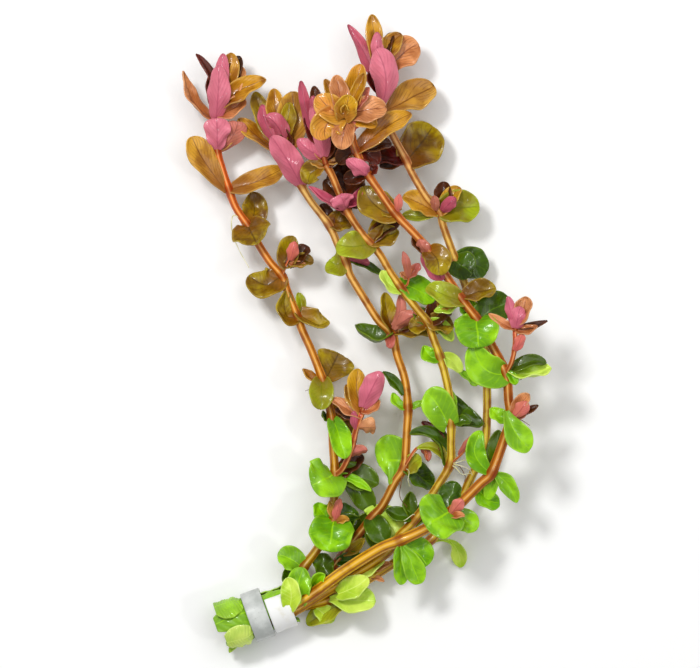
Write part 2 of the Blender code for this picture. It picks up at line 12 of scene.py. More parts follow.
import bpy
import numpy as np
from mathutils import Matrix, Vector


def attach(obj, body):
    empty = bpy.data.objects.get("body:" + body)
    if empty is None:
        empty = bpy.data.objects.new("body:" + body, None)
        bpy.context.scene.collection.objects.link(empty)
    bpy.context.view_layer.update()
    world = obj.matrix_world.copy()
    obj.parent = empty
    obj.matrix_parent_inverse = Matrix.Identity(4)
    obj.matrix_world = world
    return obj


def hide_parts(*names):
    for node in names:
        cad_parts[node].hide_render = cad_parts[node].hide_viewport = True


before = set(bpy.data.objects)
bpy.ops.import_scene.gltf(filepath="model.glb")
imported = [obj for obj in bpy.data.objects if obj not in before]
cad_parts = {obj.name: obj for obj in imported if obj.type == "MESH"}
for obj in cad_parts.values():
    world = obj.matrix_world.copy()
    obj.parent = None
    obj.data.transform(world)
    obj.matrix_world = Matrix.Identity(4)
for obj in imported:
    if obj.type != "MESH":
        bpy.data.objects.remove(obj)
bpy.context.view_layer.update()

MM = 0.001
MIDDLE = np.array((0.6, 1.4, 0.0))

# Stems: faces round them, distance between rings, thickness at the tip, the swelling at a node, the ridges.
STEM_SIDES = 24
STEM_STEP = 1.1
STEM_TIP_RADIUS = 1.05
NODE_SWELLING = 0.25
NODE_LENGTH = 2.2
STEM_RIDGES = 4
RIDGE_HEIGHT = 0.07
STEM_FIBRES = 13

# A side branch swells at one node of its own: its place and its length as shares, and its height.
BRANCH_NODE = 0.6
BRANCH_NODE_LENGTH = 0.06
BRANCH_SWELLING = 0.12

# Plain shoots: distance between rings, then the faces round each kind and the share of thickness it loses.
SHOOT_STEP = 0.6
TIP_RADIUS = 0.95
TIP_SIDES = 12
TIP_LOSS = 0.55
STALK_SIDES = 10
STALK_LOSS = 0.35
THREAD_SIDES = 8
THREAD_LOSS = 0.5

# Leaves: thickness, rows and columns of faces in a large, a small and a base leaf, the width up to which a
# leaf is small, how far its base is sunk into its stem, its side veins, and a blade's least half width.
LEAF_THICKNESS = 0.38
LEAF_GRID = (34, 18)
SMALL_GRID = (22, 12)
BASE_GRID = (60, 22)
SMALL_WIDTH = 4.0
SUNK = 0.35
SIDE_VEINS = 7
LEAST_HALF_WIDTH = 0.12

# Across a blade, in shares of its half width: how the columns crowd at the midrib, where the fold has its
# full slope, and where the margin starts to turn down. Then the degrees by which it turns down.
CROWDING = 1.15
FULL_FOLD = 0.6
MARGIN_START = 0.8
MARGIN_TURN = 16

# Relief of a blade: the midrib's groove, and, as shares of the leaf's width, the ruffle of the margin, the
# bend of the blade and its dents. Then the turns of the ruffle, and of the dents along and across the leaf.
GROOVE_DEPTH = 0.10
GROOVE_WIDTH = 0.35
RUFFLE = 0.07
BEND = 0.06
DENTS = (0.02, 0.05)
RUFFLE_TURNS = (1.2, 2.4)
DENTS_ALONG = 1.6
DENTS_ACROSS = 1.3

# Outline of a blade: where the widest place is, how full it is below and above that, the width at the base
# as a share of the widest, and how far the lobes beside the base reach back, as a share of the length.
OUTLINES = {
    "round": (0.48, 0.7, 0.46, 0.45, 0.16),
    "broad": (0.46, 0.6, 0.45, 0.72, 0.06),
    "oval": (0.50, 0.75, 0.48, 0.36, 0.05),
    "spoon": (0.62, 1.2, 0.42, 0.20, 0.0),
    "lance": (0.46, 0.8, 0.60, 0.32, 0.0),
    "fan": (0.78, 0.9, 0.26, 0.24, 0.0),
    "drop": (0.80, 7.0, 0.50, 0.13, 0.0),
}

# Band and strip: the band's axis leans by this much from +X. Places along it are counted from BAND_CENTRE.
BAND_CENTRE = np.array((-29.5, -83.6, 7.65))
BAND_LEAN = math.radians(20)
BAND_ALONG = np.array((math.cos(BAND_LEAN), math.sin(BAND_LEAN), 0))
BAND_ACROSS = np.array((-math.sin(BAND_LEAN), math.cos(BAND_LEAN), 0))
BAND_UP = np.array((0, 0, 1))
BAND_OUTER_RADIUS = 7.65
BAND_INNER_RADIUS = 6.6
BAND_END = -0.2
BAND_WIDTH = 6.0
BAND_ROUNDING = 0.35
ROUNDING_STEPS = 4
BAND_SIDES = 120
STRIP_OUTER_RADIUS = 7.0
STRIP_INNER_RADIUS = 6.5
STRIP_END = 0.25
STRIP_WIDTH = 6.9
STRIP_BULGE = 0.08
STRIP_BEVEL = 0.12
STRIP_WAVE = 0.05
STRIP_WAVES = 1.5
WAVE_STEPS = 12
STRIP_START = 32
STRIP_TURN = 272
STRIP_STEPS = 90

# Inside the band the stems stand on a circle: the angle of each, from straight up, and its thickness. Then
# the places along the band's axis of the cut ends, and of the points that the stems run through from there.
BUNDLE_RADIUS = 3.1
BUNDLE_ANGLES = {"d": 0, "a": 72, "b": 144, "e": 216, "c": 288}
BUNDLE_RADII = {"d": 1.75, "a": 1.35, "b": 1.35, "e": 1.35, "c": 1.35}
BUNDLE_PLACES = (-12.5, -5.0, 2.0, 6.5)

Leaf = namedtuple("Leaf", "origin tip width facing fold bow outline tone")
Tone = namedtuple("Tone", "base tip margin vein stain vein_strength pleat_height vein_slope slot")


def cell(text):
    """What a cell of a table holds: a name, a number, or the numbers of a point, a direction or a colour."""
    words = text.split()
    if words[0][0].isalpha():
        return words[0]
    numbers = tuple(float(word) for word in words)
    return numbers if len(numbers) > 1 else numbers[0]


def table(text):
    """The rows of a table, one to a line, each a list of its cells."""
    return [[cell(part) for part in line.split(",")] for line in text.strip().split("\n")]


def leaf_groups(text):
    """The leaves of each group, which follow a line with the group's name."""
    groups = {}
    for row in table(text):
        if len(row) == 1:
            leaves = groups[row[0]] = []
        else:
            leaves.append(Leaf(*row))
    return groups


def route(text):
    """The points of a stem in order, each with the name of its node, which is empty between nodes."""
    steps = []
    for step in text.split(","):
        *name, x, y, z = step.split()
        steps.append(("".join(name), (float(x), float(y), float(z))))
    return steps


# Routes of the stems from the band to the tip. A point that is a node, where leaves grow, has its name.
ROUTES = {
    "a": route("""
a9 -18.9 -70.5 9.2, -14.4 -64.5 9.5, a8 -9.9 -56.4 9.8, -9.6 -50.1 10, a7 -9.3 -42.6 10, -9.9 -33.6 10,
a6 -10.2 -26.1 10, -11.1 -21.6 10, a5 -12.9 -14.4 10, -16.2 -5.7 10, -18.9 .3 10, a4 -20.7 5.1 10,
-23.7 12.9 10, a3 -25.2 17.1 10, -28.8 21.3 10, -32.7 27.3 10, a2 -35.4 32.1 10, -39 37.5 10,
a1 -41.1 42.9 10.2, -43.2 49.5 10.5, a0 -44.7 54.9 10.8, a_head -45.3 64.2 11
"""),
    "b": route("""
-12.3 -72.6 6.2, -4.8 -63.6 7.5, b7 1.8 -55.5 9, 5.1 -51.6 10, 8.7 -44.7 11.5, b6 11.4 -40.5 12.2,
12 -35.1 12.6, 12.3 -29.1 13, b5 12.6 -22.5 13, 11.7 -14.1 13, 9.3 -6.6 13, b4 7.8 -.3 13, 3.6 3.9 13,
-1.2 11.4 13, -4.8 17.4 13, b3 -6 21.3 13, -8.4 26.4 13, b2 -11.1 32.4 13, -16.2 39 13.2,
b0 -19.5 44.4 13.5, -22.2 50.4 13.5, b_head -24.6 55.5 13.3
"""),
    "c": route("""
-10.8 -77.1 8.8, 5.7 -66.6 10.5, 10.2 -60.6 11.3, c9 14.7 -56.1 12.3, 21.3 -46.2 14.5, c8 25.2 -39.3 15.5,
25.5 -33 16.2, c7 25.5 -27 16.5, 24.9 -18.6 16.8, 23.7 -12.6 17, c6 22.2 -7.2 17, 19.8 -.6 17,
c5 18.6 3 17.2, 13.8 9 17.4, c4 10.5 13.5 17.6, 7.2 18.3 17.8, 4.2 23.4 18, c3 1.2 27 18.2, -1.2 29.7 18.4,
c2 -6 37.2 18.6, -9.9 46.5 19.2, c1 -12 50.4 19.6
"""),
    "d": route("""
-22.2 -82.2 11.4, -14.4 -77.1 13, -6.3 -71.1 15, 4.2 -64.5 17.5, d11 10.2 -62.1 18.8, 18.6 -58.2 20.6,
d10 25.2 -53.7 22, 34.2 -45 23.6, d9 37.5 -41.7 24.2, 41.1 -32.1 25, d8 43.2 -25.5 25.4, 42.6 -20.1 25.6,
d7 41.7 -12 25.8, 37.2 -3 26, d6 33.3 3.9 26, d5 28.5 10.2 26, 23.1 18.3 25.8, d4 19.2 24.3 25.6,
14.7 29.4 25.6, d3 8.7 35.7 25.6, 3.6 42.9 25.8, d2 .6 47.4 26, d1 -3 54.3 26.2, d_head -4.5 59.4 26.4
"""),
    "e": route("""
e_low -10.8 -80.1 5.6, .6 -74.1 6.6, 8.7 -69 7.2, e6 19.2 -62.4 8, 26.7 -53.1 9, 31.2 -44.1 10,
e5 35.4 -34.5 10.6, 36.3 -25 11, 36.3 -15.6 11, 36 -5.1 11, 33.6 4.5 11, 30.3 12.9 11.2, e3 27.3 21 11.5,
25.2 26.4 11.8, 23.1 32.4 12, e2 22.2 36.3 12.2, 18.3 40.5 12.4, 14.1 47.4 12.8, e1 12 51.9 13,
7.2 60.9 13.6, e0 5.1 66.3 14, e_head 4.2 72.3 14.6
"""),
}

# Side branches: the name, the node that each grows from, its thickness, and its points from there on.
BRANCHES = table("""
branch_a, a7, .9, -6.9 -40.5 12.6, -4.5 -35.1 14.5, -3 -29.1 16, -1.2 -24 17
branch_d, d7, .7, 43.5 -8.4 28.6, 44.4 -3.6 29.6, 44.4 .6 30
""")

# The growing tip inside each head of young leaves: the points that it runs through from its stem or branch.
TIPS = table("""
-45.3 64.2 11, -45 68.5 11.3, -44 74 11.4
-24.6 55.5 13.3, -25.6 60 13, -26.3 66 12.6
-12 50.4 19.6, -13.8 57 20.4, -15.8 64 20.8
-4.5 59.4 26.4, -5.4 62.4 28, -6.6 65 30.2
4.2 72.3 14.6, 3.8 77.5 14.8, 3 84 14.8
-1.2 -24 17, -.6 -20 17.6, .2 -15.5 18.2
44.4 .6 30, 44.8 4 30.4, 44.8 7.5 30.6
""")

# Large leaves, each in the place of its node leaf_NAME. After the name, a row of leaves in this file says:
# the node or point that the leaf grows from, its tip, its width, the direction that its upper side looks in,
# the slope in degrees to which its halves are folded up, how far its midrib bows out of the straight line,
# its outline, and its tone.
LARGE_LEAVES = {name: Leaf(*row) for name, *row in table("""
a0_left, a_head, -54.9 78.6 10, 5.6, .7 .45 .5, 26, -1.6 -1.3 0, lance, tan
a0_right, -43.8 67.8 11.8, -30 75.9 13, 7, -.1 .35 .9, 34, -.3 1.2 .6, lance, gold
a1_left, a1, -52.2 58.8 12, 8.4, .25 .2 1, 20, -1.3 .6 1, spoon, gold
a1_right, a1, -24.9 49.4 9, 7.2, .1 .5 .85, 28, .3 -.6 1.5, oval, gold
a2_back, a2, -34.2 42.2 6.5, 8.2, .1 .1 1, 22, .9 -.3 -1, round, olive
a2_front, a2, -32.7 26.7 17.5, 12.6, -.2 .5 .7, 26, .3 -.5 .5, round, olive
a3_left, a3, -34.8 17.4 11, 10, -.05 .3 .95, 24, -.3 -2.4 .6, round, olive
a5_right, a5, -8.3 -6.2 5.6, 12, .2 .1 .95, 14, 0 0 -1, fan, olive
a7_left, a7, -16.2 -45.6 15, 13.8, -.2 .1 .95, 18, .3 0 1.4, round, green
a8_front, a8, -11.1 -65.4 15.5, 13.8, -.05 .4 .9, 20, 0 0 1.5, round, green
a9_left, a9, -26.4 -66.6 11, 7.8, -.1 .35 .95, 24, 0 .6 .5, round, green
b0_front, b0, -28.2 58.8 21, 8.4, .15 .25 -1, 30, .6 -.3 1.6, oval, pink
b0_left, b_head, -38.4 64.2 9.5, 7, .2 .5 .8, 26, -.6 -.9 -1.2, oval, gold
b4_left, b4, -3 2.4 12, 10.5, .15 .8 .5, 50, -.3 -2.8 0, round, moss
b6_left, 10.4 -38.4 11.2, 3.9 -39.3 9.4, 15.4, .25 0 .95, 12, 0 .6 -.2, broad, green
b6_right, b6, 19.8 -46.2 8, 8, .2 .4 .85, 26, 0 .4 0, round, moss
c2_back, c2, -7.5 51 13.5, 13.6, .05 .15 1, 28, 0 0 -3.4, round, brown
c3_left, c3, -8.7 26.4 21, 9.4, 0 .35 .95, 22, 0 -.6 1.6, round, sage
c4_right, c4, 20.1 9.3 15, 8.6, -.1 .45 .9, 24, .3 .9 -.4, round, green
c7_left, c7, 18 -17.7 19.8, 10, -.1 .15 1, 22, -.2 1.3 1, round, green
c7_right, c7, 30.6 -22.2 12, 14, .15 .2 .95, 14, 0 0 -.6, fan, moss
d1_right, d1, 13.5 65.4 23, 7.6, -.2 .5 .85, 26, 0 1.2 .6, oval, gold
d3_left, d3, -.6 43.8 21.5, 10.2, .15 .35 .95, 24, -1.2 -1.2 -.6, round, olive
d5_left, d5, 18.3 13.8 28, 7.8, .1 .4 .9, 30, 0 -.3 1.8, round, sage
d5_right, d5, 38.7 13.2 24.5, 8, 0 .55 .85, 36, 0 .3 0, oval, olive
d6_front, d6, 33.6 -4.2 31, 13.4, 0 .4 .9, 22, 0 0 1.8, round, green
d7_left, d7, 32.1 -3.6 29.5, 10.6, -.1 .2 .97, 24, -1.2 -2.4 .8, round, green
d7_right, d7, 55.2 -10.5 25.5, 9, 0 .75 .6, 42, .3 -1.2 0, oval, lime
d8_front, 41.9 -23.4 27.6, 48.8 -34.7 29, 8.2, 0 .3 .95, 26, -.6 -.9 1.2, spoon, green
d9_left, d9, 34.5 -29.4 25.5, 6.6, .2 0 .97, 24, -3 -.5 .6, oval, green
d9_right, d9, 45 -50.7 21.5, 5.4, -.3 .2 .9, 28, .8 .9 0, lance, green
d10_left, d10, 18 -57.6 26.5, 15.6, -.2 .2 .95, 22, -.3 0 1.2, broad, green
d11_under, d11, 18.3 -69.6 14.6, 10, .1 .3 .95, 22, .7 .3 -.5, oval, green
e0_right, 5.7 77.7 12.6, 15.6 86.7 10.6, 10, -.1 .2 1, 22, -.3 .9 0, spoon, tan
e1_right, e0, 20.4 74.1 8.5, 11, -.15 .3 .95, 24, -.4 -.3 0, spoon, gold
e1_lower, e1, 20 62 5, 14, .1 .15 1, 24, .3 0 0, round, olive
e2_right, e2, 33.9 37.8 9.5, 11, 0 .25 .95, 26, 0 .3 0, round, sage
e3_right, e3, 36.3 18.6 6.5, 10.4, .1 .3 .95, 22, 0 .6 0, round, moss
e6_drop, e6, 28.5 -70.5 1.5, 4.8, 0 .2 1, 22, 1.8 3.6 0, drop, lime
base_lime, -10.8 -80.1 7.4, 2.7 -80.4 11, 9, 0 .35 .9, 24, 0 0 1, spoon, lime
""")}

# Small leaves, buds and young leaves, in groups that are one piece each, in the place of the node with that
# name where there is one.
LEAF_GROUPS = leaf_groups("""
head_a
a_head, -51 83.7 9.5, 4.8, .5 .4 .7, 34, 2.2 .6 0, lance, maroon
-44.6 69.5 12.4, -42.9 83.7 12.6, 4.8, .1 0 -1, 30, .3 0 .6, oval, pink
-45 64.5 12.4, -44.1 80.1 15.2, 7.4, .05 .2 -1, 34, .3 -.2 1.4, oval, pink
-44.4 70.5 11.4, -40.5 84 10.6, 7, .1 .2 1, 28, .9 -.4 0, oval, gold
-44 69.5 11.6, -37.2 79.8 10.2, 6.6, -.2 .3 1, 30, .8 -.6 0, oval, tan
-43.6 71 11.2, -38.1 83.1 9.4, 5.4, -.1 .2 1, 34, .6 0 0, oval, brown
-44.6 65.5 11.4, -36.6 70.5 10.8, 6, 0 .4 .9, 30, .6 -.9 0, oval, tan
-45.2 66.5 11, -47.1 77.1 11.4, 3.4, .4 .2 .9, 30, -.6 0 0, lance, maroon
-44.2 67.5 12.2, -39 72.9 12.2, 3, -.3 .3 .9, 34, .3 -.6 0, lance, brown
whorl_a0
a0, -44.7 64.2 14.5, 8.2, 0 .1 -1, 24, 0 -.4 .9, fan, pink
a0, -38.4 63.3 12, 6.8, .1 .3 -.9, 24, .9 -.3 0, fan, dusk
a0, -40.2 60.3 8.5, 3.8, -.3 .3 .9, 30, .8 0 0, lance, gold
shoot_a3
-23.4 20.4 12, -21.6 28.8 11.2, 7.2, 0 .1 1, 32, -.9 0 -.4, round, olive
-23.2 20.4 12.4, -15.9 21.3 11.5, 5.6, -.1 .5 .8, 36, .3 .5 0, round, olive
-22.6 20.8 12.2, -17.7 26.1 10.6, 5.6, -.2 .2 .95, 32, .5 .3 0, round, brown
-22.6 21.8 13.4, -21.3 27.3 14.6, 4, 0 .1 -1, 40, 0 0 .8, oval, coral
-23 20.8 12.8, -18 20.7 13.2, 2.6, 0 .5 .8, 34, 0 -.4 0, lance, tan
whorl_a4
a4, -24 12.6 11, 8, .55 .3 .75, 34, -1.6 -2.4 .5, round, olive
a4, -11.1 3.3 10.5, 9.4, -.05 .7 .7, 46, .3 -1.8 .5, round, olive
a4, -20.4 12 8.5, 3.2, .1 .1 .95, 30, .6 0 0, oval, sage
whorl_a5
a5, -18.9 -10.8 9.5, 4.4, .4 .5 .6, 36, -.5 -.6 0, lance, gold
a5, -13.5 -22.8 15, 7.6, 0 .3 .95, 24, 0 0 1.4, round, sage
whorl_a6
a6, -5.7 -20.1 8.5, 6.6, -.2 .1 1, 26, .5 0 -.5, round, gold
a6, -3.9 -29.7 8.5, 6, -.2 .3 1, 26, .5 .3 -.3, oval, olive
a6, -12.9 -23.4 10, 3.4, .7 .4 .5, 36, -.6 -.6 0, lance, moss
a6, -8.7 -33 11.6, 3.2, .4 .4 .8, 36, .6 .3 .3, lance, moss
a6, -6.3 -37.5 16, 7.2, 0 .4 .9, 34, .2 0 1.5, oval, green
whorl_a7
a7, 3.6 -45.3 9, 8.8, 0 .3 .95, 24, 0 .6 -.6, round, moss
a7, 1.2 -53.4 8, 7.4, -.2 .2 .95, 24, 1.2 .9 0, spoon, moss
a7, -.9 -36.9 8, 6, 0 .3 .9, 34, 0 .3 0, round, brown
a7, 1.5 -47.4 11.2, 3.2, 0 .3 .95, 34, 0 .6 0, lance, green
whorl_a8
a8, -14.1 -51 10.5, 6.4, .2 .4 .9, 26, -.9 0 0, round, green
a8, -3.3 -53.1 7.5, 8.6, -.2 .3 .9, 28, .4 0 0, round, moss
a8, -2.1 -60.3 7, 8, -.2 .3 .9, 28, .4 .6 0, oval, moss
-9.3 -56 11.2, -7.8 -49.8 13.5, 3, 0 .1 -1, 42, 0 0 .5, oval, coral
-9.6 -55.6 11, -10.8 -50.4 12.5, 2.6, .2 .2 .9, 30, -.3 0 0, lance, gold
-9 -56.8 11.2, -5.1 -56.1 13, 3, 0 .5 .8, 30, 0 .3 0, lance, gold
head_b
b_head, -33.3 72.3 9.5, 6.6, .2 .2 .95, 28, -1.2 0 0, oval, olive
-25.6 58.5 13.4, -27.6 73.2 12, 6.6, .1 .2 1, 28, -.4 0 .3, oval, gold
-24.3 55.5 13.4, -22.2 72.3 12, 11, -.1 .1 1, 30, 1.2 0 .6, oval, gold
-25 58 14.4, -23.1 69 14.6, 5.4, -.1 .1 1, 30, .6 0 .6, oval, olive
-24.3 54.5 13, -21.3 61.5 12.4, 6, -.2 .2 .9, 40, .8 0 0, round, maroon
-25.4 56 14.2, -31.2 68.4 13.5, 5.2, .2 .2 -.9, 32, -1.2 -.4 .8, oval, rose
-24.6 57 14.8, -30 64.8 16.8, 6.2, .2 .3 -.9, 42, .8 1.2 1.2, oval, rose
-23.4 55.2 14.6, -25.2 61.5 15.6, 4.2, -.2 .2 .9, 46, .6 0 0, round, brown
whorl_b2
b2, -4.2 33.9 11.5, 7.4, -.1 .4 .9, 28, 0 0 0, round, olive
b2, -13.2 38.7 9.5, 4.6, 0 .1 1, 34, 0 0 0, round, brown
whorl_b3
b3, -11.1 21.6 12.5, 8.4, .15 .2 .95, 24, 0 -.6 .5, round, sage
b3, .9 20.7 13.5, 3.6, 0 .5 -.8, 30, 0 .4 0, oval, rose
b3, 6 16.5 11.5, 3, .2 .6 .7, 30, 0 .9 0, lance, moss
whorl_b4
b4, 21.9 .3 11, 7, 0 .5 .8, 36, 0 .3 0, oval, olive
b4, 14.7 4.2 9, 5.4, 0 .3 .9, 36, 0 0 0, oval, brown
b4, 7.2 -4.5 16, 3.2, 0 .4 .8, 34, 0 0 .6, oval, dusk
8.4 1.8 14.6, 15 5.7 16.4, 5.4, 0 .3 -.9, 34, .4 .3 .6, oval, dusk
8.2 1.2 14.6, 10.2 11.7 15.5, 3.8, .3 0 -.9, 34, .9 0 .4, lance, dusk
b4, 5.7 12 14.5, 6.2, .4 .1 .9, 38, -.9 -.4 0, oval, olive
whorl_b5
b5, 8.1 -18 13, 3.8, .4 .4 .7, 30, -.9 -.6 0, oval, green
b5, 17.1 -20.4 13, 2.8, 0 .6 .7, 34, 0 -.3 0, lance, green
11 -18.6 13.6, 5.1 -11.7 13.5, 3.6, .5 .3 .8, 34, .3 .3 0, lance, moss
whorl_b6
b6, 16.5 -37.5 14.5, 6, -.1 .3 1, 26, .3 .4 0, round, sage
16.6 -34.6 15.8, 18.6 -38.4 15.2, 2.6, .3 .1 -.9, 34, .6 .3 0, lance, dusk
whorl_b7
1 -55.8 9, 9 -61.8 9.4, 10.6, .1 .2 1, 16, .9 1.5 .2, round, lime
1.8 -56.2 10.4, 6 -62.7 13.2, 7.6, 0 .3 1, 22, 0 0 .8, round, moss
b7, -2.7 -62.4 7, 6, .3 .3 .9, 34, -.9 .3 0, oval, moss
b7, 2.7 -64.5 6.5, 6.4, 0 .3 .9, 30, 0 .3 0, oval, moss
head_c
-13.2 54.6 20.4, -19.5 75.3 21, 4.2, .2 .1 -1, 36, -.8 -.8 .6, oval, rose
-14.8 60 20.8, -15.6 73.8 19, 4.6, 0 .1 1, 36, .5 0 0, oval, brown
-15 60 21.2, -15.9 70.8 21.8, 3.8, 0 .1 -1, 38, .3 0 .4, oval, rose
-12.6 53 21, -16.2 67.5 24, 6, -.1 .2 -1, 38, .8 .2 1, oval, pink
-13.6 56 20.6, -18.3 64.5 20.6, 3.6, .3 .1 .9, 34, -.5 -.2 0, lance, maroon
-13.4 53 20.2, -20.4 57.9 20.4, 6, .1 .3 -.9, 34, -.3 -.6 .6, round, pink
-12.6 52.4 19.6, -9.6 60 20, 5, -.2 .2 1, 36, .4 0 0, oval, brown
-13.2 52.4 19.4, -15.6 57 18.4, 4.6, .2 .2 1, 36, 0 0 0, oval, tan
whorl_c1
c1, -17.4 44.7 17.5, 7, -.1 .3 .95, 30, -.9 .9 0, oval, olive
c1, -3.6 53.4 19.5, 3.6, -.2 .7 .6, 34, 0 -.6 0, lance, gold
c1, -6 55.8 16.5, 6.4, -.2 .3 .9, 34, 0 0 0, round, brown
c1, -16.8 52.2 17, 4.6, .2 .3 .9, 34, 0 0 0, round, gold
whorl_c2
c2, -17.1 43.8 19.5, 4.8, .1 .7 .6, 46, .6 -1.2 .4, lance, rose
c2, -1.2 43.5 21, 5, -.1 .7 .65, 46, .4 -1.2 .4, lance, rose
c2, -7.5 41.4 23.5, 7.4, 0 0 -.9, 24, 0 -.4 1.6, fan, pink
c2, -12.3 45.9 15, 6, .1 .3 .9, 34, 0 0 0, round, brown
whorl_c3
c3, 9.6 30.6 17.4, 7.4, -.15 .4 .9, 28, 0 -.3 0, round, olive
c3, 10.2 33.6 15.5, 6, -.15 .4 .9, 34, -.6 .6 0, oval, brown
c3, 6 35.1 16, 5, -.2 .2 .95, 34, -.3 .3 0, oval, olive
whorl_c4
c4, 4.8 18.6 18.5, 5.4, .4 .2 .9, 30, -.6 -.6 0, round, lime
12.6 16.5 19.2, 11.1 24.3 20, 2.8, .2 .1 -1, 38, .3 0 .6, lance, dusk
12.8 16.8 19.2, 15.9 20.7 19.4, 3.4, -.2 .3 .9, 34, .3 0 0, oval, dusk
12.4 16.2 19.2, 10.2 18 19.6, 2.6, .3 .5 .8, 34, 0 0 0, lance, tan
whorl_c5
c5, 26.1 2.4 16, 8.4, 0 .5 .85, 30, 0 -.6 0, round, olive
c5, 24.6 8.4 14, 8.2, -.1 .3 .95, 30, 0 .3 0, round, brown
c5, 25.8 -2.4 15.5, 4.6, 0 .4 .9, 30, .4 .8 0, oval, lime
c5, 12.9 1.5 17.5, 6, .1 .4 .9, 30, 0 0 0, oval, olive
c5, 14.7 7.2 15, 5.4, .1 .3 .9, 30, 0 0 0, oval, moss
whorl_c6
c6, 17.4 -3.9 17, 5.2, .3 .3 .9, 30, -.6 -.9 0, round, green
c6, 28.5 -11.7 15.5, 4.8, -.1 .5 .85, 30, 0 .6 0, oval, lime
27 -11 15.6, 33.3 -15.6 14, 3.6, .2 .5 .8, 30, .3 0 0, spoon, green
whorl_c7
c7, 31.5 -26.7 18.5, 4, 0 .5 .8, 30, 0 .4 0, lance, moss
c7, 24.6 -16.5 13.5, 5, 0 .2 .95, 30, 0 0 0, oval, green
whorl_c8
c8, 13.2 -30.3 16, 6.6, .1 .7 .6, 42, 2.4 2.8 0, oval, moss
c8, 15.3 -34.5 16.8, 3.6, 0 .5 .8, 34, 1.2 2 0, lance, sage
c8, 16.8 -26.7 13.5, 4, .2 .3 .9, 36, 1.2 .9 0, oval, maroon
c8, 20.4 -27.3 12.5, 4.6, .2 .3 .9, 36, .6 .3 0, oval, brown
27.8 -36.5 17.5, 31.5 -30.9 19.5, 2.4, .2 .2 -.9, 38, .3 0 .3, lance, dusk
whorl_c9
c9, 13.5 -47.7 12, 4.6, .3 .2 .95, 32, -.6 0 0, oval, moss
c9, 6 -53.1 12.5, 5, .2 .4 .9, 32, 0 -.4 0, oval, moss
c9, 22.8 -49.8 11, 6, -.2 .3 .9, 30, 0 .4 0, round, moss
head_d
-6.6 64.2 31, -5.1 70.8 32.6, 7.4, 0 -.2 1, 34, 0 0 .4, round, ochre
-6.4 64 29.6, -14.4 70.8 30, 8.6, .2 .1 1, 28, -.4 -.4 .8, oval, crown
-6.6 65.1 29, -12 57.9 30.2, 10.4, .1 .1 1, 26, -2.4 .6 .9, oval, crown
-6 63.6 29.4, -7.5 54.9 31.2, 7.4, 0 .3 1, 26, 0 0 .9, oval, tan
-7.2 66 29.4, -12.3 75.6 28.8, 4, .2 .1 1, 30, -.2 0 0, oval, gold
-6.8 66 30, -9 76.8 29.4, 6.2, 0 .1 1, 34, 0 0 .4, oval, tan
-5.4 65.4 28.8, -1.5 80.1 27.6, 7.4, -.1 .1 1, 38, 0 0 .4, oval, crown
-5.2 66.6 29.8, -.6 77.4 30, 4.4, -.1 .1 1, 42, .2 0 .3, oval, ochre
-5 66 29.6, .9 73.2 29.8, 4.6, -.3 .3 .9, 34, .4 -.2 0, lance, dusk
-5.4 65.4 29.6, 6 67.2 29, 8.6, -.1 .2 1, 26, 0 .2 .4, oval, tan
-5.2 64.4 28.8, 3 61.8 28.4, 6, -.1 .3 1, 30, 0 .6 .3, oval, crown
-5 60 28.4, -3.6 63 30.6, 4.4, 0 .2 -.9, 42, 0 0 .4, round, coral
-6.6 65.4 31, -6.3 68.1 33.4, 3.4, 0 -.3 .9, 54, 0 0 0, oval, ochre
whorl_d1
d1, 3.6 50.7 22, 7, -.1 .4 .9, 34, 0 .6 0, oval, maroon
d1, -8.4 51 22, 6, .1 .4 .9, 34, 0 .6 0, oval, brown
d1, 7.5 56.4 21.5, 6, -.1 .4 .9, 34, 0 .6 0, oval, brown
whorl_d2
d2, -5.7 51.6 29.5, 5.8, .1 .4 -.9, 34, .6 -.6 1, oval, pink
d2, 3.3 49.8 27.5, 4, -.3 .3 .8, 34, .3 0 0, lance, maroon
d2, -6.6 45.9 24, 5.4, .2 .2 .9, 34, 0 0 0, oval, brown
whorl_d3
d3, 9.9 41.4 28, 2.8, .1 .1 -1, 38, 0 0 .5, lance, coral
d3, 6 37.5 22, 6, .1 .2 .95, 30, 0 0 0, round, olive
whorl_d4
d4, 21.6 17.4 29.5, 8.6, 0 .3 .95, 26, .9 .6 1.2, round, olive
d4, 15.9 27.9 27, 4, .4 .2 -.8, 34, -.6 0 .4, oval, dusk
d4, 14.1 29.4 24, 4.4, .3 .2 .9, 34, -.6 0 0, lance, brown
d4, 22.8 15.9 27, 7.6, 0 .4 -.9, 28, -.3 0 .6, round, rose
whorl_d5
d5, 20.4 6.6 25.5, 4.4, 0 .5 .8, 34, .6 -.6 0, lance, lime
d5, 21.3 8.7 23.5, 6, 0 .4 .9, 30, 0 0 0, oval, ochre
d5, 32.4 4.2 22.5, 6, 0 .4 .9, 30, 0 0 0, oval, green
whorl_d6
d6, 43.2 9.3 23, 10, -.1 .3 .95, 22, 0 .6 0, round, moss
d6, 26.7 3.6 26, 6.6, .1 .3 .95, 28, 0 -.9 0, round, green
whorl_d7
d7, 44.7 -15.3 27.5, 3.2, .1 .4 .9, 30, .2 0 .4, oval, green
d7, 53.7 -9 25.8, 4.8, 0 .5 .85, 28, 0 1.5 .4, oval, moss
whorl_d8
43.8 -25.2 27, 47.7 -20.4 29.5, 5.2, .2 .2 -.9, 38, .3 -.3 .8, oval, coral
43.8 -24.8 26.8, 48.6 -18.3 28.5, 5, 0 .4 .9, 34, 0 .4 0, oval, tan
43.9 -25.4 26.8, 51.3 -21.6 27.5, 3, 0 .5 .8, 34, 0 -.3 0, lance, brown
d8, 37.2 -22.5 25.5, 5, .3 .3 .9, 30, -.2 -.8 0, round, green
whorl_d9
d9, 39.6 -29.1 23, 5.6, -.2 .2 1, 30, .6 0 0, oval, moss
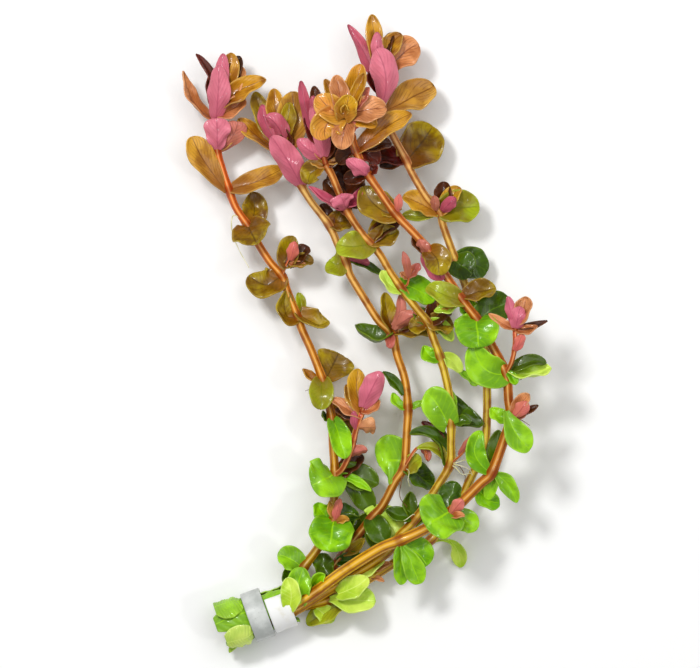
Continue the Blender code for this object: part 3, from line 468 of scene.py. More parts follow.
33.6 -46.8 22.2, 39.9 -51 18.5, 6.4, 0 .3 .95, 26, -.4 -.9 0, round, green
d9, 36.3 -49.8 20.5, 4.2, 0 .3 .95, 26, 0 0 0, oval, green
whorl_d10
d10, 32.7 -59.1 21, 7.4, .1 .3 .95, 24, .5 .5 0, oval, green
d10, 27 -44.7 20, 8, -.2 .2 .95, 28, -.4 0 0, round, moss
25.4 -54 23.8, 28.8 -49.8 26.2, 4.2, .2 .2 -.9, 40, 0 0 .6, oval, coral
25.2 -55 23.8, 29.4 -54.6 26, 2.8, 0 .5 .8, 34, 0 .2 .3, lance, tan
whorl_d11
d11, 10.8 -75.3 14.5, 5.6, .3 .3 .9, 26, -.5 0 .6, oval, green
d11, 15.9 -75 17.6, 6.6, -.1 .3 .95, 24, .4 0 .9, spoon, green
head_e
3.4 80.5 14.6, 1.8 95.4 14.2, 5.6, .1 .1 1, 34, -.1 0 .6, oval, gold
3.6 74.5 14.4, -5.4 92.4 12.8, 5, .3 .1 -.9, 36, 1 -.6 .8, lance, rose
3.4 80 15.6, 3.3 90 17, 4.2, 0 .1 -1, 38, 0 0 .6, oval, pink
3.6 79 14.2, 10.5 89.7 11.6, 7, -.2 .2 .9, 30, -.3 .6 0, oval, gold
4.2 81 14, 7.8 90 11.2, 4.2, -.2 .2 .9, 36, 0 0 0, oval, brown
4.5 68.1 16.2, 3 84.9 18.4, 9.4, 0 .2 -1, 36, 2.2 0 1.2, spoon, pink
e_head, 1.8 79 13.2, 4.2, .4 .2 .8, 34, -.9 0 0, lance, maroon
whorl_e0
e0, 1.8 70.8 15.4, 3.4, .4 .2 .8, 38, -.3 0 0, lance, maroon
e0, 8.4 62.4 11, 4.4, 0 .3 .9, 34, 0 0 0, oval, brown
whorl_e1
e1, -.6 53.7 10.5, 7.2, .1 .4 .9, 32, 0 .6 -.5, oval, maroon
e1, 4.2 50.4 9.5, 5.4, .1 .4 .9, 32, 0 0 0, oval, brown
whorl_e2
e2, 11.1 40.8 12.5, 7.6, .1 .5 .85, 32, 0 .5 0, oval, ochre
e2, 10.8 35.1 10.5, 4.6, 0 .5 .8, 32, 0 -.3 0, oval, sage
20.8 36.8 14, 20.4 41.1 15.4, 3, .2 .2 -.9, 40, 0 0 .6, oval, dusk
22.8 36.6 14, 26.7 40.5 15.8, 4.4, .2 .2 -.9, 40, 0 0 .6, oval, rose
e2, 23.4 45.3 9, 6.2, -.1 .2 1, 36, 0 0 0, round, brown
e2, 27.9 43.8 10.5, 6.2, -.3 .2 .9, 38, .3 .3 0, round, ochre
whorl_e3
26.7 21.6 12.5, 31.8 18 13.8, 9.4, .1 .3 .95, 18, 0 0 .9, round, moss
head_branch_a
-.8 -22.2 18.2, 4.5 -11.7 20.5, 7.2, .1 .2 -1, 32, 0 .5 1, oval, pink
-1.2 -23.4 17.6, 3.9 -20.1 18, 4.2, 0 .4 .9, 32, .4 -.5 0, oval, tan
-1.4 -23.4 16.6, -2.4 -10.8 15.5, 6.8, .1 .1 1, 32, -.9 0 0, oval, ochre
-1.8 -24 16.6, -6 -15.6 15, 4, .3 .2 .9, 32, -.4 -.3 0, oval, gold
leaves_branch_a
-2.3 -28.2 16.9, 2.7 -28.2 18, 6, .1 .4 -.8, 30, 0 0 .3, fan, tan
-1.8 -25.2 16.6, -10.2 -19.8 14.5, 5.4, .2 .5 .8, 40, 0 -.3 0, oval, tan
-2.4 -26 16.2, -9 -22.8 13, 4.4, .2 .5 .8, 36, 0 -.5 0, oval, brown
-3 -28.8 16.8, -3.6 -23.4 18, 2.8, 0 .1 -1, 38, -.2 0 .3, lance, rose
-5 -36.5 14.2, .3 -35.1 14.6, 4, 0 .5 -.7, 34, 0 .3 0, oval, dusk
head_branch_d
44.6 1.5 31, 45.9 7.8 32.4, 5.6, 0 .1 -1, 38, 0 0 .6, oval, pink
44.6 2 30.6, 42.3 10.8 31, 3.8, .3 .1 -.9, 36, -.3 -.2 .4, oval, pink
44.8 3 30.4, 47.4 10.8 30, 6.6, -.2 .1 1, 44, .9 0 0, oval, tan
44.2 1 30.2, 36.6 5.7 29.4, 3.2, .2 .5 .8, 36, 0 -.4 0, lance, tan
44.8 1.5 30.2, 54 3.6 29.4, 2.6, 0 .5 .8, 36, 0 -.6 0, lance, brown
44.7 .8 30.4, 51 2.1 31, 3.8, 0 .5 .8, 34, 0 -.9 0, lance, tan
44.3 -5.1 30.2, 46.5 -.3 31.6, 3.4, .1 .1 -.9, 38, .3 0 .4, oval, coral
leaves_base
-15.6 -77.4 10.6, -12.3 -72.6 14, 6.4, .3 .1 .8, 54, -1 .6 0, round, green
-8.4 -78.3 10.5, .6 -73.5 12.8, 7.4, 0 .3 .9, 28, 0 -.6 .6, oval, lime
-6.6 -81 6.4, -17.7 -87.6 4.2, 8, -.1 .4 .9, 28, .6 .6 0, oval, sage
-3.6 -72.3 9, 5.4 -67.2 9.5, 6.8, 0 .4 .9, 28, 0 -.3 0, oval, lime
1.5 -73.5 7.6, 5.4 -74.6 8.4, 1.8, 0 .5 .8, 34, 0 .3 0, lance, tan
1.8 -71.4 8.6, 7.5 -69 9.6, 2.8, 0 .5 .8, 34, 0 0 0, lance, tan
-22.8 -81.9 14.4, -23.7 -73.5 15.6, 6.4, -.2 .1 1, 26, .8 0 .6, round, lime
-20.4 -80.4 12.5, -18.9 -70.5 12.4, 8.2, 0 .2 1, 26, -.6 0 .3, round, green
-19.8 -78 9.5, -24 -70.8 9.6, 6.6, 0 .2 1, 28, 0 0 0, round, moss
-12 -72.6 8.4, -13.5 -66.3 7, 6.4, 0 .2 1, 30, 0 0 0, round, moss
-8.4 -68.7 7.8, -.3 -67.8 8.6, 5.4, 0 .2 1, 30, 0 0 0, oval, moss
-6.6 -66.3 8, -.6 -61.8 8.6, 3.8, .1 .3 1, 34, 0 -.6 0, oval, olive
-15 -82.8 5.6, -9.6 -86.4 4.6, 6, 0 .3 .9, 28, 0 0 0, oval, lime
-37.5 -90.6 5, -41.1 -96 4.4, 2.4, 0 .3 .95, 24, 0 0 0, lance, lime
""")

# Stalks that carry a group of small leaves clear of the stem: the node, the thickness, the stalk's points.
STALKS = table("""
a3, .45, -24.6 18.6 11.6, -23.7 21 12.6, -23.1 22.2 12.9
b6, .6, 12.6 -38.4 14, 15.3 -34.5 15.6, 17.7 -35.1 16, 18.3 -38.1 15.4
c4, .4, 12.3 14.4 18.6, 12.9 16.8 19.2, 13.8 19.2 19.6
c8, .4, 26.7 -38 17, 29.1 -35.7 18.2, 31.2 -31.2 19.3
""")

# Root threads: the tone, the node that each starts at, its thickness, and the points that it runs through.
THREADS = table("""
pale, a2, .2, -39.6 35.4 10.4, -40.3 31 9.8, -38.4 25.5 9.2, -35.1 19.5 9
dark, a5, .16, -15 -16.2 11, -18.3 -17.4 10.6
dark, b6, .18, 10.5 -45 13, 10.2 -49.2 13.2, 12.3 -52.2 13.6
pale, c8, .2, 27.6 -39.6 17, 30.9 -40.8 16.6, 31.8 -42.6 16.2
pale, c8, .2, 27 -40.5 17.2, 28.8 -42.3 17, 31.5 -42 16.6
pale, c8, .2, 27.6 -38.7 17.4, 30.3 -38.1 17, 32.4 -40.2 16.4
dark, c8, .17, 27.9 -39.9 16.6, 29.7 -42.9 16, 29.4 -44.7 15.4
pale, b6, .14, 12.9 -38.1 14.4, 14.4 -36.3 15.2, 16.2 -33.9 15.6
pale, b6, .13, 12.9 -41.4 14.4, 12.6 -44.1 14.6, 13.2 -46.2 14.4
pale, c9, .17, 14.4 -54.3 14, 11.7 -56.1 14.2, 9.9 -56.4 13.8
dark, d7, .16, 43.8 -14.4 26.8, 46.5 -13.8 26.6
dark, d8, .16, 45.9 -25.8 26.4, 48.9 -27.6 26
""")

# Base leaves run along the stems through the band, and the last two cover the cut ends. Each has a middle
# angle, a half angle, its two ends, how far it lies over the others, its flare at the cut end, and its tone.
BASE_LEAVES = table("""
base_front, 20, 44, -16, 10.5, 0, 0, green
base_back, 142, 46, -14.5, 8.5, 0, 0, green
base_under, 262, 44, -15, 8, 0, 0, green
cover_front, 318, 36, -14.6, -6.4, .6, .4, lime
cover_side, 60, 44, -14.6, -6.4, .45, 1.6, green
""")

# Distances of the base leaves from the band's axis, under the places along it where they have them.
BASE_LEAF_PLACES = (-16.5, -12.5, -8.5, -6.2, 7.4, 8.8, 12.0)
BASE_LEAF_REACH = (4.9, 6.2, 6.8, 5.75, 5.75, 6.8, 8.0)

# Tones of the leaves, in 0 to 255 as a screen shows them: at the base, at the tip, along the margin, the
# veins and the stains. Then how strongly the veins show, the height of the pleats between them, how steeply
# they run to the tip, and the record's slot. The base colours are mostly darker than the tips: partly the
# leaves' own colour, partly painted shade where the leaves crowd at their nodes.
# The dark tones brown, maroon and moss are partly the leaves' own colour and partly painted shade, for
# leaves that sit in the shadow of cups, stems and other leaves.
TONES = {name: Tone(*row) for name, *row in table("""
pink, 176 62 92, 214 100 126, 230 150 156, 150 44 76, 186 80 104, .35, .08, 3.4, leaf_pink
rose, 146 40 64, 186 70 98, 212 124 132, 116 28 54, 150 48 70, .35, .08, 3.4, leaf_pink
dusk, 150 60 54, 192 98 88, 220 150 124, 112 42 40, 146 70 44, .45, .09, 3, leaf_pink
coral, 186 62 66, 218 100 94, 236 156 138, 146 44 52, 190 84 60, .35, .06, 3, leaf_pink
tan, 168 80 42, 220 144 88, 240 190 140, 112 48 22, 158 84 34, .5, .09, 4.2, leaf_tan
crown, 166 76 22, 222 144 56, 240 194 116, 120 56 14, 190 132 10, .45, .08, 4, leaf_tan
gold, 136 66 10, 202 144 34, 234 200 110, 94 48 4, 136 76 4, .45, .09, 4.2, leaf_gold
ochre, 152 80 6, 200 146 16, 232 198 92, 112 62 4, 150 88 2, .45, .09, 3.2, leaf_gold
olive, 126 72 0, 158 134 0, 204 178 64, 76 52 0, 92 50 0, .4, .1, 2.8, leaf_olive
sage, 116 92 0, 150 164 0, 204 214 82, 108 114 0, 124 110 0, .35, .08, 2.6, leaf_olive
brown, 80 26 6, 64 26 2, 140 80 30, 36 10 0, 44 24 0, .5, .1, 3, leaf_brown
maroon, 102 22 20, 82 20 12, 150 68 48, 48 8 6, 56 22 4, .5, .08, 3, leaf_brown
moss, 58 90 0, 56 86 0, 136 160 30, 84 116 0, 26 48 0, .35, .08, 2.4, leaf_dark
green, 90 148 0, 146 208 4, 190 226 80, 156 212 10, 84 144 0, .3, .06, 2.2, leaf_green
lime, 176 208 36, 206 232 84, 232 244 160, 216 238 116, 158 200 14, .3, .06, 2.2, leaf_lime
""")}

# Colours of each stem, from the cut end through the middle to the tip. Stem b's dark colour at the cut end
# is partly its own and partly painted shade, where it runs under leaves.
STEM_TONES = {name: colours for name, *colours in table("""
a, 176 142 8, 210 134 40, 224 92 34
b, 112 56 4, 216 146 50, 226 176 98
c, 206 152 18, 218 186 52, 212 132 60
d, 232 176 30, 186 106 24, 210 116 44
e, 206 160 20, 212 180 46, 224 154 92
""")}


def unit(vectors):
    return vectors / np.linalg.norm(vectors, axis=-1, keepdims=True)


def grid_faces(rows, columns, rows_close, columns_close):
    """Faces between the neighbours in a grid of points, which may close on itself either way."""
    faces = []
    for i in range(rows if rows_close else rows - 1):
        here = i * columns
        there = (i + 1) % rows * columns
        for j in range(columns if columns_close else columns - 1):
            k = (j + 1) % columns
            faces.append((here + j, here + k, there + k, there + j))
    return faces


def seed(name):
    """A random source of a piece's own, the same each run."""
    return random.Random(f"rotala {name}")


def new_object(name, data):
    made = bpy.data.objects.new(name, data)
    bpy.context.scene.collection.objects.link(made)
    return made


class Mesh:
    """Points in millimetres and faces of one piece, each face's material, and three values at each point."""

    def __init__(self):
        self.points = []
        self.faces = []
        self.slots = []
        self.values = []
        self.materials = []

    def slot(self, material):
        if material not in self.materials:
            self.materials.append(material)
        return self.materials.index(material)

    def add(self, points, faces, slots, values):
        first = len(self.points)
        self.points += [tuple(point) for point in points]
        self.faces += [tuple(first + k for k in face) for face in faces]
        self.slots += slots
        self.values += values

    def piece(self, name):
        """The object, which rides on the bunch. The values become an attribute of its points."""
        mesh = bpy.data.meshes.new(name)
        mesh.from_pydata([(np.array(point) - MIDDLE) * MM for point in self.points], [], self.faces)
        mesh.polygons.foreach_set("material_index", self.slots)
        for material in self.materials:
            mesh.materials.append(material)
        place = mesh.attributes.new("place", "FLOAT_VECTOR", "POINT")
        place.data.foreach_set("vector", np.array(self.values, np.float32).ravel())
        mesh.shade_smooth()
        mesh.validate()
        made = new_object(name, mesh)
        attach(made, "root")
        return made


class Look:
    """A Principled material in the making. Its nodes take in sockets, or plain numbers and colours."""

    def __init__(self, name, roughness, coat, coat_roughness):
        self.material = bpy.data.materials.new(name)
        self.material.use_nodes = True
        self.nodes = self.material.node_tree.nodes
        self.links = self.material.node_tree.links
        self.shader = self.nodes["Principled BSDF"]
        self.shader.inputs["Roughness"].default_value = roughness
        self.shader.inputs["Coat Weight"].default_value = coat
        self.shader.inputs["Coat Roughness"].default_value = coat_roughness
        self.shader.inputs["Specular IOR Level"].default_value = 0.2

    def feed(self, socket, value):
        """Fill a socket. A colour of three numbers is in 0 to 255, as a screen shows it, and made linear."""
        if isinstance(value, tuple) and len(value) == 3:
            value = tuple((part / 255) ** 2.2 for part in value) + (1.0,)
        if isinstance(value, (int, float, tuple)):
            socket.default_value = value
        else:
            self.links.new(value, socket)

    def node(self, kind, **values):
        """A new node, whose inputs of these names are fed."""
        node = self.nodes.new(f"ShaderNode{kind}")
        for name, value in values.items():
            self.feed(node.inputs[name], value)
        return node

    def calc(self, operation, *values):
        node = self.node("Math")
        node.operation = operation
        for socket, value in zip(node.inputs, values):
            self.feed(socket, value)
        return node.outputs[0]

    def times(self, first, second):
        return self.calc("MULTIPLY", first, second)

    def mix(self, share, first, second):
        """A colour between two."""
        node = self.node("Mix")
        node.data_type = "RGBA"
        self.feed(node.inputs["Factor"], share)
        self.feed(node.inputs[6], first)
        self.feed(node.inputs[7], second)
        return node.outputs[2]

    def ramp(self, value, low, high):
        """0 up to low and 1 from high on, smooth between."""
        node = self.node("MapRange", **{"Value": value, "From Min": low, "From Max": high})
        node.interpolation_type = "SMOOTHSTEP"
        return node.outputs["Result"]

    def noise(self, scale, detail=3.0):
        """Cloudy noise fixed to the object, with features of about 1 / scale metres."""
        place = self.node("TexCoord").outputs["Object"]
        return self.node("TexNoise", Scale=scale, Detail=detail, Vector=place).outputs["Fac"]

    def place(self):
        """The three values of a piece's points."""
        place = self.node("Attribute")
        place.attribute_name = "place"
        return self.node("SeparateXYZ", Vector=place.outputs["Vector"]).outputs

    def finish(self, colour, height=None, strength=0.0, distance=0.0, roughness=None):
        """The material, with this colour, and with a bump and a varied roughness where they are given."""
        self.links.new(colour, self.shader.inputs["Base Color"])
        if height:
            bump = self.node("Bump", Strength=strength, Distance=distance, Height=height)
            self.links.new(bump.outputs["Normal"], self.shader.inputs["Normal"])
        if roughness:
            self.links.new(roughness, self.shader.inputs["Roughness"])
        return self.material


def leaf_material(name, underside):
    """A wet leaf: colour from base to tip, darker at the base partly as painted shade, stains, its own tint,
    side veins, a midrib and a paler margin.
    """
    tone = TONES[name]
    look = Look(f"{name}_under" if underside else f"{name}_upper", 0.4, 0.2, 0.06)
    across, along, tint = look.place()
    out = look.calc("ABSOLUTE", across)
    stains = look.times(look.ramp(look.noise(170.0), 0.40, 0.62), 0.85)
    wave = look.calc("SUBTRACT", look.times(along, SIDE_VEINS), look.times(out, tone.vein_slope))
    wave = look.calc("COSINE", look.times(wave, math.tau))
    lines = look.times(look.ramp(wave, 0.3, 1.0), tone.vein_strength)
    faded = look.ramp(look.noise(420.0), 0.36, 0.62)
    midrib = look.calc("SUBTRACT", 1.0, look.ramp(out, 0.02, 0.07))
    edge = look.times(look.ramp(out, 0.9, 1.0), 0.25)

    # Darker towards the base: partly the leaf's own colour, partly painted shade near its node.
    colour = look.mix(look.ramp(along, 0.05, 0.75), tone.base, tone.tip)
    colour = look.mix(stains, colour, tone.stain)
    colour = look.mix(look.times(tint, 0.18), colour, tone.margin)
    colour = look.mix(look.times(lines, faded), colour, tone.vein)
    colour = look.mix(look.times(midrib, 0.7), colour, tone.vein)
    colour = look.mix(edge, colour, tone.margin)
    if underside:
        colour = look.mix(look.calc("MULTIPLY_ADD", out, 0.1, 0.15), colour, tone.margin)

    skin = look.calc("ADD", look.noise(1900.0, 4.0), look.times(wave, 0.2))
    rough = look.calc("MULTIPLY_ADD", look.noise(700.0), 0.3, 0.28 if underside else 0.16)
    return look.finish(colour, skin, 0.35, 0.00018, rough)


def stem_material(name, low, middle, high):
    """A wet stem with its own three colours, brown stains, painted shade in its furrows and a painted
    highlight along its ridge crests, fine fibres in its bump, and darker nodes.
    """
    look = Look(f"stem_{name}_skin", 0.25, 0.25, 0.08)
    around, along, ring = look.place()
    wave = look.calc("COSINE", look.times(around, math.tau * STEM_RIDGES))
    stains = look.times(look.ramp(look.noise(210.0), 0.45, 0.7), 0.7)
    # Painted shade: the furrows between the ridges are darkened.
    painted_furrow_shade = look.times(look.ramp(wave, 0.0, -1.0), 0.7)
    # Painted highlight: a pale streak along the crest of each ridge.
    painted_ridge_highlight = look.times(look.ramp(wave, 0.55, 1.0), 0.4)
    node = look.times(look.ramp(ring, 0.4, 1.0), 0.6)

    colour = look.mix(look.ramp(along, 0.15, 0.5), low, middle)
    colour = look.mix(look.ramp(along, 0.6, 0.97), colour, high)
    colour = look.mix(stains, colour, (136, 60, 16))
    # Painted shade darkens the furrows.
    colour = look.mix(painted_furrow_shade, colour, (124, 54, 16))
    # Painted highlight on the ridge crests.
    colour = look.mix(painted_ridge_highlight, colour, (248, 212, 130))
    colour = look.mix(node, colour, (130, 48, 18))
    fibre = look.calc("COSINE", look.times(around, math.tau * STEM_FIBRES))
    skin = look.calc("ADD", look.noise(1500.0), look.times(fibre, 0.15))
    return look.finish(colour, skin, 0.3, 0.00015)


def thread_material(name, first, second):
    look = Look(f"thread_{name}", 0.4, 0.3, 0.2)
    return look.finish(look.mix(look.ramp(look.noise(500.0), 0.35, 0.65), first, second))


def band_material():
    """Soft grey plastic, scuffed."""
    look = Look("band_plastic", 0.42, 0.15, 0.3)
    cloud = look.ramp(look.noise(180.0, 5.0), 0.35, 0.7)
    colour = look.mix(cloud, (172, 176, 172), (206, 209, 205))
    scuff = look.ramp(look.noise(1400.0, 6.0), 0.62, 0.74)
    colour = look.mix(look.times(scuff, 0.5), colour, (132, 136, 128))
    rough = look.calc("MULTIPLY_ADD", scuff, 0.25, 0.38)
    return look.finish(colour, look.noise(900.0, 5.0), 0.25, 0.0002, rough)


def strip_material():
    """White strip, slightly creased, with faint yellow stains."""
    look = Look("strip_surface", 0.5, 0.1, 0.3)
    stain = look.times(look.ramp(look.noise(240.0, 4.0), 0.55, 0.78), 0.5)
    colour = look.mix(stain, (240, 240, 238), (214, 206, 176))
    return look.finish(colour, look.noise(420.0, 4.0), 0.3, 0.0003)


def floor_material():
    look = Look("floor", 0.85, 0.0, 0.3)
    return look.finish(look.mix(look.noise(4.0, 4.0), (0.90, 0.90, 0.90, 1.0), (0.94, 0.94, 0.935, 1.0)))


def half_width(share, width, outline):
    """Half the blade's width at shares of its length."""
    widest, lower, upper, base, _ = outline
    below = base + (1 - base) * np.sin(np.pi / 2 * np.minimum(1, share / widest)) ** lower
    above = np.cos(np.pi / 2 * np.clip((share - widest) / (1 - widest), 0, 1)) ** upper
    return np.maximum(width / 2 * np.where(share < widest, below, above), LEAST_HALF_WIDTH)


def section(fold, columns):
    """Across a blade with its halves folded up: shares of the half width, how far out, and how far up."""
    step = np.linspace(0, 1, columns // 2 + 1) ** CROWDING
    slope = math.radians(fold) * np.sin(np.pi / 2 * np.minimum(1, step / FULL_FOLD))
    past = np.clip((step - MARGIN_START) / (1 - MARGIN_START), 0, 1)
    slope = slope - math.radians(MARGIN_TURN) * past ** 2
    middle_slope = (slope[1:] + slope[:-1]) / 2
    out = np.concatenate(([0], np.cumsum(np.cos(middle_slope) * np.diff(step))))
    lift = np.concatenate(([0], np.cumsum(np.sin(middle_slope) * np.diff(step))))
    place, out = (np.concatenate((-values[:0:-1], values)) for values in (step, out))
    return place, out, np.concatenate((lift[:0:-1], lift))


def sheet_normals(sheet):
    along = np.gradient(sheet, axis=0)
    across = np.gradient(sheet, axis=1)
    return unit(np.cross(across, along))


def blade_sheet(leaf, base, source):
    """The middle sheet of a leaf as a grid of points, and its grid of values."""
    rows, columns = LEAF_GRID if leaf.width > SMALL_WIDTH else SMALL_GRID
    share = ((1 - np.cos(np.pi * np.linspace(0, 1, rows + 1))) / 2)[:, None]
    chord = np.array(leaf.tip) - base
    bow = np.array(leaf.bow)
    middle = base + chord * share + bow * (4 * share * (1 - share))
    ahead = unit(chord + bow * (4 * (1 - 2 * share)))
    facing = np.array(leaf.facing)
    upward = unit(facing - ahead * (ahead @ facing)[:, None])
    across = np.cross(ahead, upward)
    outline = OUTLINES[leaf.outline]
    half = half_width(share, leaf.width, outline)
    place, out, lift = section(leaf.fold, columns)

    lobes = outline[4] * np.linalg.norm(chord) * (1 - share) ** 2 * np.abs(place) ** 1.5
    sheet = middle[:, None]
    for direction, amount in ((across, half * out), (upward, half * lift), (-ahead, lobes)):
        sheet = sheet + direction[:, None] * amount[:, :, None]

    tone = TONES[leaf.tone]
    pleats = tone.pleat_height * np.sin(np.pi * np.clip(np.abs(place) * 0.95, 0, 1)) ** 0.7
    pleats = pleats * np.cos(math.tau * (SIDE_VEINS * share - tone.vein_slope * np.abs(place)))
    groove = GROOVE_DEPTH * np.exp(-(place * half / GROOVE_WIDTH) ** 2)
    groove = groove * np.sin(np.pi * np.clip(share, 0, 0.97)) ** 0.5
    ruffle = 0
    for sign in (-1, 1):
        turns = source.uniform(*RUFFLE_TURNS)
        start = source.uniform(0, 1)
        wave = np.sin(math.tau * (turns * share + start))
        ruffle = ruffle + RUFFLE * leaf.width * np.clip(sign * place, 0, 1) ** 3 * wave
    bend = source.uniform(-BEND, BEND) * leaf.width * place * np.sin(np.pi * share)
    dents = source.uniform(*DENTS) * leaf.width
    dents = dents * np.sin(math.tau * (DENTS_ALONG * share + source.uniform(0, 1)))
    dents = dents * np.cos(math.pi * (DENTS_ACROSS * place + source.uniform(-0.5, 0.5)))
    faded = np.sin(np.pi * np.clip(share, 0.02, 0.98)) ** 0.5
    height = -pleats - groove + (ruffle + bend + dents) * faded
    sheet = sheet + sheet_normals(sheet) * height[:, :, None]

    tint = source.uniform(0, 1)
    return sheet, np.stack(np.broadcast_arrays(place, share, tint), axis=-1)


def add_leaf(mesh, leaf, source):
    sheet, values = blade_sheet(leaf, leaf_base(leaf), source)
    add_sheet(mesh, sheet, values, leaf.tone)


def add_sheet(mesh, sheet, values, tone):
    """A closed blade: the upper and the lower skin of the sheet, and a rounded rim between them."""
    normals = sheet_normals(sheet)
    skins = [mesh.slot(leaf_materials[tone, False]), mesh.slot(leaf_materials[tone, True])]
    rows, columns = sheet.shape[:2]
    count = rows * columns
    top = (sheet + normals * (LEAF_THICKNESS / 2)).reshape(-1, 3)
    bottom = (sheet - normals * (LEAF_THICKNESS / 2)).reshape(-1, 3)
    faces = []
    for face in grid_faces(rows, columns, False, False):
        faces += [face, tuple(count + k for k in face[::-1])]

    rim = list(range(columns))
    rim += [i * columns + columns - 1 for i in range(1, rows)]
    rim += [(rows - 1) * columns + j for j in range(columns - 2, -1, -1)]
    rim += [i * columns for i in range(rows - 2, 0, -1)]
    edge = sheet.reshape(-1, 3)[rim]
    outward = unit(np.cross(np.roll(edge, -1, 0) - np.roll(edge, 1, 0), normals.reshape(-1, 3)[rim]))
    middle = edge + outward * (LEAF_THICKNESS * 0.4)
    for k, (start, end) in enumerate(zip(rim, rim[1:] + rim[:1])):
        here = 2 * count + k
        after = 2 * count + (k + 1) % len(rim)
        faces.append((end, start, here, after))
        faces.append((after, here, count + start, count + end))
    flat = values.reshape(-1, 3)
    all_values = [tuple(value) for value in np.concatenate((flat, flat, flat[rim]))]
    mesh.add(np.concatenate((top, bottom, middle)), faces, skins * (len(faces) // 2), all_values)


def smooth_curve(points, step):
    """Points a step apart on the Catmull-Rom curve through the given points."""
    points = [np.array(point) for point in points]
    ends = [2 * points[0] - points[1], *points, 2 * points[-1] - points[-2]]
    fine = []
    for before, start, end, after in zip(ends, ends[1:], ends[2:], ends[3:]):
        for t in (k / 10 for k in range(10)):
            fine.append(0.5 * (2 * start + (end - before) * t
                               + (2 * before - 5 * start + 4 * end - after) * t ** 2
                               + (3 * start - 3 * end + after - before) * t ** 3))
    fine = np.array(fine + points[-1:])
    lengths = np.concatenate(([0], np.cumsum(np.linalg.norm(np.diff(fine, axis=0), axis=1))))
    count = max(3, round(lengths[-1] / step))
    targets = np.linspace(0, lengths[-1], count + 1)
    return np.stack([np.interp(targets, lengths, fine[:, k]) for k in range(3)], axis=1)


def add_tube(mesh, points, radii, sides, ridge, rings, material):
    """A closed ridged bar along the points. Its values are the angle, the share of length, the node ring."""
    ahead = unit(np.gradient(points, axis=0))
    side = np.array((1.0, 0.0, 0.0))
    last = len(points) - 1
    placed = []
    values = []
    for i, (point, radius) in enumerate(zip(points, radii)):
        side = unit(side - ahead[i] * (side @ ahead[i]))
        other = np.cross(ahead[i], side)
        for j in range(sides):
            angle = math.tau * j / sides
            reach = radius * (1 + ridge * math.cos(STEM_RIDGES * angle))
            placed.append(point + reach * (math.cos(angle) * side + math.sin(angle) * other))
            values.append((j / sides, i / last, rings[i]))
    faces = grid_faces(len(points), sides, False, True)
    first = len(placed)
    for j in range(sides):
        k = (j + 1) % sides
        faces.append((first, k, j))
        faces.append((first + 1, last * sides + j, last * sides + k))
    placed += [points[0], points[-1]]
    values += [(0, 0, rings[0]), (0, 1, rings[-1])]
    mesh.add(placed, faces, [mesh.slot(material)] * len(faces), values)


def add_shoot(mesh, points, radius, loss, sides, ring, material):
    """A plain tube that loses a share of its thickness. With a ring of 1 it has the tone of a node."""
    radii = radius * (1 - loss * np.linspace(0, 1, len(points)))
    add_tube(mesh, points, radii, sides, 0, np.full(len(points), float(ring)), material)


def band_point(along, radius, degrees):
    """A point near the band: how far along its axis, how far out, and the angle from straight up."""
    angle = math.radians(degrees)
    return (BAND_CENTRE + BAND_ALONG * along
            + BAND_ACROSS * (radius * math.sin(angle)) + BAND_UP * (radius * math.cos(angle)))


def stem_points(letter):
    """The whole route of a stem, from its cut end through the band to its tip."""
    inside = [band_point(along, BUNDLE_RADIUS, BUNDLE_ANGLES[letter]) for along in BUNDLE_PLACES]
    return inside + [np.array(point) for _, point in ROUTES[letter]]


def stem_radius(letter, share):
    """Thickness falls evenly from the cut end to the tip."""
    return BUNDLE_RADII[letter] + (STEM_TIP_RADIUS - BUNDLE_RADII[letter]) * share


def node_places():
    """Each node's point, the direction up its stem there, and the stem's radius with the swelling."""
    found = {}
    for letter, steps in ROUTES.items():
        points = stem_points(letter)
        last = len(points) - 1
        for here, (name, _) in enumerate(steps, len(points) - len(steps)):
            if name:
                ahead = points[min(here + 1, last)] - points[here - 1]
                found[name] = (points[here], unit(ahead), stem_radius(letter, here / last) + NODE_SWELLING)
    return found


def leaf_base(leaf):
    """Where a leaf starts: a point, or the side of a node that its midrib leaves from."""
    if not isinstance(leaf.origin, str):
        return np.array(leaf.origin)
    centre, up_stem, radius = places[leaf.origin]
    outward = np.array(leaf.tip) - centre + 2 * np.array(leaf.bow)
    outward = unit(outward - up_stem * (up_stem @ outward))
    return centre + outward * (radius - SUNK)


def make_stems():
    for letter, steps in ROUTES.items():
        points = smooth_curve(stem_points(letter), STEM_STEP)
        nodes = [places[name][0] for name, _ in steps if name]
        nearest = np.min([np.linalg.norm(points - node, axis=1) for node in nodes], axis=0)
        rings = np.exp(-(nearest / NODE_LENGTH) ** 2)
        radii = stem_radius(letter, np.linspace(0, 1, len(points))) + NODE_SWELLING * rings
        skin = stem_material(letter, *STEM_TONES[letter])
        mesh = Mesh()
        add_tube(mesh, points, radii, STEM_SIDES, RIDGE_HEIGHT, rings, skin)
        piece = mesh.piece(f"bark_{letter}")
        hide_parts(f"stem_{letter}")


def make_branches():
    for name, node, radius, *steps in BRANCHES:
        points = smooth_curve([places[node][0], *steps], STEM_STEP)
        rings = np.exp(-((np.linspace(0, 1, len(points)) - BRANCH_NODE) / BRANCH_NODE_LENGTH) ** 2)
        mesh = Mesh()
        add_tube(mesh, points, radius + BRANCH_SWELLING * rings, STEM_SIDES, RIDGE_HEIGHT, rings, YOUNG_STEM)
        piece = mesh.piece(f"bark_{name}")
        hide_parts(name)


def make_tips():
    """The growing tips inside the heads, one piece."""
    mesh = Mesh()
    for steps in TIPS:
        add_shoot(mesh, smooth_curve(steps, STEM_STEP), TIP_RADIUS, TIP_LOSS, TIP_SIDES, 1, YOUNG_STEM)
    mesh.piece("growing_tips")


